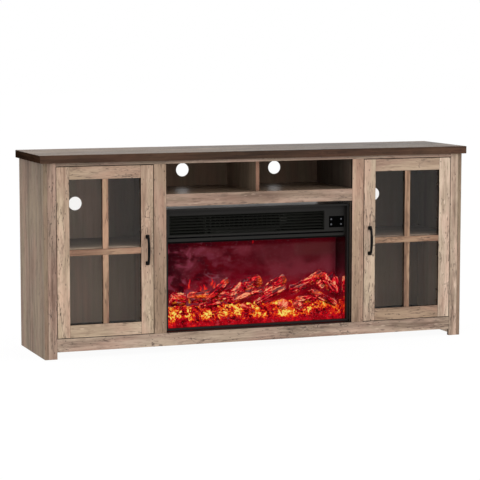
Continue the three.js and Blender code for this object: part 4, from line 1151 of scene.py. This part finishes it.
def log_material():
    """Charred bark plates with ash on them; the flesh between glows crimson, the hot patches orange and yellow."""
    t = Tree("log_bark")
    p = t.coords()
    geo = t.add("ShaderNodeNewGeometry")
    nz = t.split(geo.outputs["Normal"])[2]
    ridge = t.add("ShaderNodeAttribute", attribute_name="ridge").outputs["Fac"]
    cut = t.add("ShaderNodeAttribute", attribute_name="cut").outputs["Fac"]
    warm = t.add("ShaderNodeAttribute", attribute_name="warm").outputs["Fac"]
    bark = t.add("ShaderNodeAttribute", attribute_name="bark").outputs["Vector"]
    radial = t.add("ShaderNodeAttribute", attribute_name="radial").outputs["Fac"]
    rough = t.noise(p, 46.0, 3, 0.6)
    patch = t.noise(p, 19.0, 2, 0.5)
    fine = t.noise(p, 210.0, 3, 0.6)
    bent = t.vmath("ADD", bark, t.vmath("SCALE", t.noise(p, 40.0, 2, 0.5, colour=True), 0.012))
    bx, by, bz = t.split(bent)
    # long splits in the flesh
    grain = t.noise(t.join(t.math("MULTIPLY", bx, 15.0), t.math("MULTIPLY", by, 100.0), t.math("MULTIPLY", bz, 100.0)), 1.0, 3, 0.6)
    pv = t.join(t.math("MULTIPLY", bx, 20.0), t.math("MULTIPLY", by, 78.0), t.math("MULTIPLY", bz, 78.0))
    cells = t.voronoi(pv, 1.0)
    rim = t.voronoi(pv, 1.0, "DISTANCE_TO_EDGE").outputs["Distance"]
    pick, other, _ = t.split(cells.outputs["Color"])
    gap = t.step(rim, 0.110, 0.03)
    lit_rim = t.math("MULTIPLY", t.step(rim, 0.22, 0.10), t.math("SUBTRACT", 1.0, gap))
    # crimson flesh; by the way each face points, painted light on the upper side of the log and painted shade below
    v = t.math("ADD", t.math("MULTIPLY", t.math("SUBTRACT", grain, 0.5), 2.7), 0.68)
    v = t.math("ADD", v, t.math("MULTIPLY", t.math("SUBTRACT", rough, 0.5), 1.3))
    v = t.math("ADD", v, t.math("MULTIPLY", t.math("SUBTRACT", patch, 0.5), 1.7))
    v = t.math("ADD", v, t.math("MULTIPLY", t.math("SUBTRACT", other, 0.5), 0.25))
    v = t.math("ADD", v, t.step(nz, -0.75, 0.55, -0.46, 0.17))
    v = t.math("ADD", v, t.math("MULTIPLY", lit_rim, t.step(patch, 0.42, 0.60, 0.0, 0.30)))
    v = t.math("SUBTRACT", v, t.math("MULTIPLY", gap, 0.46))
    v = t.math("ADD", v, warm)
    v = t.math("ADD", v, t.math("MULTIPLY", cut, t.step(radial, 0.95, 0.35, -0.34, 0.10)))
    v = t.math("MAXIMUM", t.math("MINIMUM", v, 1.0), 0.0)
    col = log_colour(t, v)
    # cold plates of dark bark, mostly along the top; the plates' colour is emitted, and their pale ridges on upward
    # faces are ash and a painted highlight
    c = t.math("ADD", pick, t.math("MULTIPLY", nz, 0.55))
    c = t.math("ADD", c, t.math("MULTIPLY", t.math("SUBTRACT", rough, 0.5), 0.5))
    tip = t.add("ShaderNodeAttribute", attribute_name="tip").outputs["Fac"]
    cold = t.math("MULTIPLY", t.step(t.math("ADD", c, t.math("MULTIPLY", tip, 1.0)), 0.74, 0.80), t.step(rim, 0.05, 0.11))
    cold = t.math("MULTIPLY", cold, t.step(warm, 0.16, 0.08))
    worn = t.math("MULTIPLY", t.step(grain, 0.52, 0.66), t.step(nz, -0.1, 0.5))
    plate = t.mix(worn, (0.040, 0.0050, 0.012), (0.235, 0.125, 0.150))
    col = t.mix(t.math("MULTIPLY", cold, 0.92), col, plate)
    # a painted flame in the same place as the tall tongue at the left, and painted orange glow of the coals on the
    # logs' undersides
    sx, sz = seen(t, p, 56)
    tall = t.math("MULTIPLY", t.step(t.math("ABSOLUTE", t.math("ADD", sx, t.math("ADD", 0.278, t.math("MULTIPLY", t.math("SUBTRACT", rough, 0.5), 0.02)))), 0.0075, 0.002), t.step(sz, 0.206, 0.176))
    col = t.mix(tall, col, (1.0, 0.32, 0.02))
    spot = t.math("MULTIPLY", regional_heat(t, sx, sz, LOG_HOT), t.step(t.noise(p, 88.0, 3, 0.6), 0.36, 0.60, 0.15, 1.0))
    col = t.mix(t.math("MINIMUM", t.math("MULTIPLY", spot, 1.3), 0.95), col, t.mix(t.step(spot, 0.55, 0.95), (1.0, 0.13, 0.012), (1.0, 0.52, 0.04)))
    coal_glow_below = t.math("MULTIPLY", t.step(nz, -0.25, -0.70), t.step(t.noise(p, 30.0, 3, 0.6), 0.52, 0.62))
    col = t.mix(t.math("MULTIPLY", coal_glow_below, 0.8), col, (0.95, 0.26, 0.012))
    # Painted shade: the undersides of the logs darker, except where they glow.
    under = t.math("MAXIMUM", t.step(nz, -0.80, 0.05, 0.38, 1.0), t.math("MAXIMUM", coal_glow_below, t.math("MAXIMUM", tall, t.math("MINIMUM", spot, 1.0))))
    col = t.mix(1.0, col, t.join(under, under, under), "MULTIPLY")
    t.principled(
        Base_Color=t.mix(cold, (0.015, 0.0005, 0.001), (0.05, 0.012, 0.016)),
        Roughness=0.85,
        Specular_IOR_Level=0.02,
        Emission_Color=col,
        Emission_Strength=1.0,
        Normal=t.bump(t.math("ADD", rough, t.math("MULTIPLY", gap, -0.8)), 0.002, 0.8),
    )
    return t.mat


ember_mat = ember_material()
log_mat = log_material()
set_mat("flame_screen", screen_material())

LOGS = [  # from, to, radius, in millimetres, warmth
    ((-346, 84, 194), (-286, 84, 192), 24, 0.10),
    ((-270, 88, 196), (-76, 86, 196), 22, 0.00),
    ((-344, 64, 214), (-290, 68, 196), 9.5, 0.10),
    ((-205, 66, 190), (-108, 80, 262), 15.5, 0.06),
    ((-104, 74, 202), (30, 84, 258), 22.5, 0.03),
    ((-118, 62, 180), (32, 68, 220), 14.5, -0.06),
    ((34, 78, 204), (134, 86, 259), 19.5, 0.06),
    ((6, 64, 166), (132, 72, 226), 13, -0.02),
    ((158, 74, 210), (294, 84, 270), 17, 0.0),
    ((150, 62, 206), (216, 64, 226), 11, -0.05),
    ((282, 92, 216), (350, 94, 262), 16.5, 0.02),
    ((292, 78, 268), (340, 68, 192), 15.5, 0.00),
    ((353, 90, 252), (356, 86, 186), 13, 0.14),
    ((236, 66, 204), (347, 62, 146), 14, -0.06),
    ((180, 66, 169), (272, 70, 177), 13.5, -0.04),
    ((111, 64, 143), (134, 92, 158), 19.5, 0.16),
    ((179, 66, 141), (201, 92, 154), 19.5, 0.10),
    ((-232, 60, 166), (-150, 63, 176), 11, -0.04),
    ((-60, 58, 160), (-20, 62, 150), 8, 0.25),
]


def build_logs():
    verts, faces, ridge, cut = [], [], [], []
    rnd = random.Random(5)
    bark, warmth, radial, tips = [], [], [], []
    for k, (a, b, r, warm) in enumerate(LOGS):
        a, b = Vector(a), Vector(b)
        d = (b - a).normalized()
        length = (b - a).length
        s = d.orthogonal().normalized()
        o = d.cross(s)
        m = max(18, int(length / 2.6))
        n = 56
        base = len(verts)
        seed = Vector((k * 13.7, k * 5.1, k * 9.3))
        bend = (s * rnd.uniform(-1, 1) + o * rnd.uniform(-1, 1)) * min(5.0, length * 0.03)
        prof = []
        for i in range(m + 1):
            t = i / m
            # the ends are rounded and broken
            e = min(t, 1 - t) * length
            prof.append((t, min(1.0, 0.80 + 0.20 * min(1.0, e / 5.0))))
        rings = [(0.0, 0.25, 1.0), (0.0, 0.6, 1.0)] + [(t, q, 0.0) for t, q in prof] + [(1.0, 0.6, 1.0), (1.0, 0.25, 1.0)]
        for t, q, is_cut in rings:
            c = a + (b - a) * t + bend * math.sin(math.pi * t)
            for j in range(n):
                w = 2 * math.pi * j / n
                u = s * math.cos(w) + o * math.sin(w)
                along = t * length
                # long bark plates, broken across
                q1 = noise.noise(seed + Vector((along * 0.030, math.cos(w) * 2.3, math.sin(w) * 2.3)))
                q2 = noise.noise(seed + Vector((along * 0.075, math.cos(w) * 5.2, math.sin(w) * 5.2)))
                q3 = noise.noise(seed + Vector((along * 0.22, math.cos(w) * 9.0, math.sin(w) * 9.0)))
                plate = max(-1.0, min(1.0, (q2 * 1.6 + q3 * 0.8)))
                rr = r * q * (0.97 + 0.20 * q1 + 0.16 * plate)
                p = c + u * rr
                if is_cut:
                    p += d * (-1 if t == 0 else 1) * (0.8 + 2.2 * noise.noise(seed + Vector((w, q * 6, t * 9)))) * (1 - q) * 2.2
                verts.append(F(p.x, p.y, p.z))
                ridge.append(0.5 + 0.5 * plate)
                cut.append(is_cut)
                radial.append(q)
                bark += [(along + k * 97.0) / 1000, math.cos(w) * r / 1000, math.sin(w) * r / 1000]
                warmth.append(warm)
                tips.append(max(0.0, 1.0 - (1.0 - t) * length / 26.0) if b.z > a.z + 10 else 0.0)
        R = len(rings)
        for i in range(R - 1):
            for j in range(n):
                jj = (j + 1) % n
                faces.append((base + i * n + j, base + i * n + jj, base + (i + 1) * n + jj, base + (i + 1) * n + j))
        for i, flip, tt in ((0, True, 0.0), (R - 1, False, 1.0)):
            c = a + (b - a) * tt
            mid = len(verts)
            verts.append(F(c.x, c.y, c.z))
            ridge.append(0.3)
            cut.append(1.0)
            radial.append(0.0)
            tips.append(1.0 if tt > 0.5 and b.z > a.z + 10 else 0.0)
            bark += [(tt * length + k * 97.0) / 1000, 0.0, 0.0]
            warmth.append(warm)
            for j in range(n):
                jj = (j + 1) % n
                x0, x1 = base + i * n + j, base + i * n + jj
                faces.append((mid, x1, x0) if flip else (mid, x0, x1))
    ob = new_object("log_set_bark", verts, faces, log_mat)
    for name, values in (("ridge", ridge), ("cut", cut), ("warm", warmth), ("radial", radial), ("tip", tips)):
        at = ob.data.attributes.new(name, "FLOAT", "POINT")
        at.data.foreach_set("value", values)
    ob.data.attributes.new("bark", "FLOAT_VECTOR", "POINT").data.foreach_set("vector", bark)
    auto_smooth(ob, 75)
    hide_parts("log_set")
    return ob


BED = [(44, 97), (50, 107), (62, 128), (80, 148), (104, 158), (128, 160)]


def bed_height(y):
    for (y0, z0), (y1, z1) in zip(BED, BED[1:]):
        if y <= y1:
            return z0 + (z1 - z0) * (y - y0) / (y1 - y0)
    return BED[-1][1]


def build_embers():
    rnd = random.Random(11)
    # the moulded bed
    verts, faces = [], []
    nx, ny = 300, 34
    for i in range(nx + 1):
        x = -367 + 734 * i / nx
        for j in range(ny + 1):
            y = 44.3 + 83 * j / ny
            h = bed_height(y) - 6
            q = noise.noise(Vector((x * 0.045, y * 0.055, 1.7))) * 6 + noise.noise(Vector((x * 0.13, y * 0.15, 5.2))) * 4
            verts.append(F(x, y, h + q * (1.0 if 0 < j < ny else 0.4)))
    for i in range(nx):
        for j in range(ny):
            a = i * (ny + 1) + j
            faces.append((a, a + ny + 1, a + ny + 2, a + 1))
    # skirt down to the floor of the box and a flat underside
    top = len(verts)
    loop = (
        [i * (ny + 1) for i in range(nx + 1)]
        + [nx * (ny + 1) + j for j in range(1, ny + 1)]
        + [i * (ny + 1) + ny for i in range(nx - 1, -1, -1)]
        + [j for j in range(ny - 1, 0, -1)]
    )
    for k in loop:
        p = verts[k]
        verts.append(Vector((p.x, p.y, 0.0818)))
    L = len(loop)
    for k in range(L):
        kk = (k + 1) % L
        faces.append((loop[k], top + k, top + kk, loop[kk]))
    faces.append(tuple(top + k for k in range(L - 1, -1, -1)))
    # broken coals over it
    ico = bmesh.new()
    bmesh.ops.create_icosphere(ico, subdivisions=2, radius=1.0)
    iv = [v.co.copy() for v in ico.verts]
    iff = [tuple(v.index for v in f.verts) for f in ico.faces]
    ico.free()
    coal = [0.42] * len(verts)
    for _ in range(470):
        x = rnd.uniform(-360, 360)
        y = rnd.uniform(49, 120)
        r = rnd.uniform(5.0, 12.5)
        if y < 57:
            r = min(r, 7.5)
        tone = rnd.random()
        z = bed_height(y) - 6 + r * rnd.uniform(0.1, 0.45)
        sq = Vector((rnd.uniform(0.8, 1.35), rnd.uniform(0.75, 1.1), rnd.uniform(0.6, 0.95)))
        rot = Matrix.Rotation(rnd.uniform(0, 6.28), 3, "Z") @ Matrix.Rotation(rnd.uniform(-0.6, 0.6), 3, "X")
        base = len(verts)
        sd = Vector((rnd.random() * 50, rnd.random() * 50, rnd.random() * 50))
        for v in iv:
            k = 0.88 + 0.34 * noise.noise(v * 1.1 + sd) + 0.22 * noise.noise(v * 2.7 + sd)
            p = rot @ Vector((v.x * sq.x, v.y * sq.y, v.z * sq.z)) * (r * k)
            q = Vector((x, y, z)) + p
            q.x = max(-367.0, min(367.0, q.x))
            q.y = max(44.1, min(128, q.y))
            q.z = max(82.0, q.z)
            verts.append(F(q.x, q.y, q.z))
            coal.append(tone)
        for f in iff:
            faces.append(tuple(base + i for i in f))
    ob = new_object("ember_coals", verts, faces, ember_mat)
    ob.data.attributes.new("coal", "FLOAT", "POINT").data.foreach_set("value", coal)
    auto_smooth(ob, 50)
    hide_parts("ember_bed")
    return ob


build_embers()
build_logs()

# ------------------------------------------------------------------ floor
bpy.ops.mesh.primitive_plane_add(size=60, location=(0, 0, 0))
floor = bpy.context.object
floor.name = "studio_floor"
ft = Tree("pale_floor")
fp = ft.coords()
fcol = ft.mix(ft.step(ft.noise(fp, 3.0, 3, 0.5), 0.3, 0.7), (0.05, 0.05, 0.05), (0.055, 0.055, 0.055))
ft.principled(Base_Color=fcol, Roughness=0.9, Specular_IOR_Level=0.0, Emission_Color=(1.0, 1.0, 1.0), Emission_Strength=0.95)
floor.data.materials.append(ft.mat)
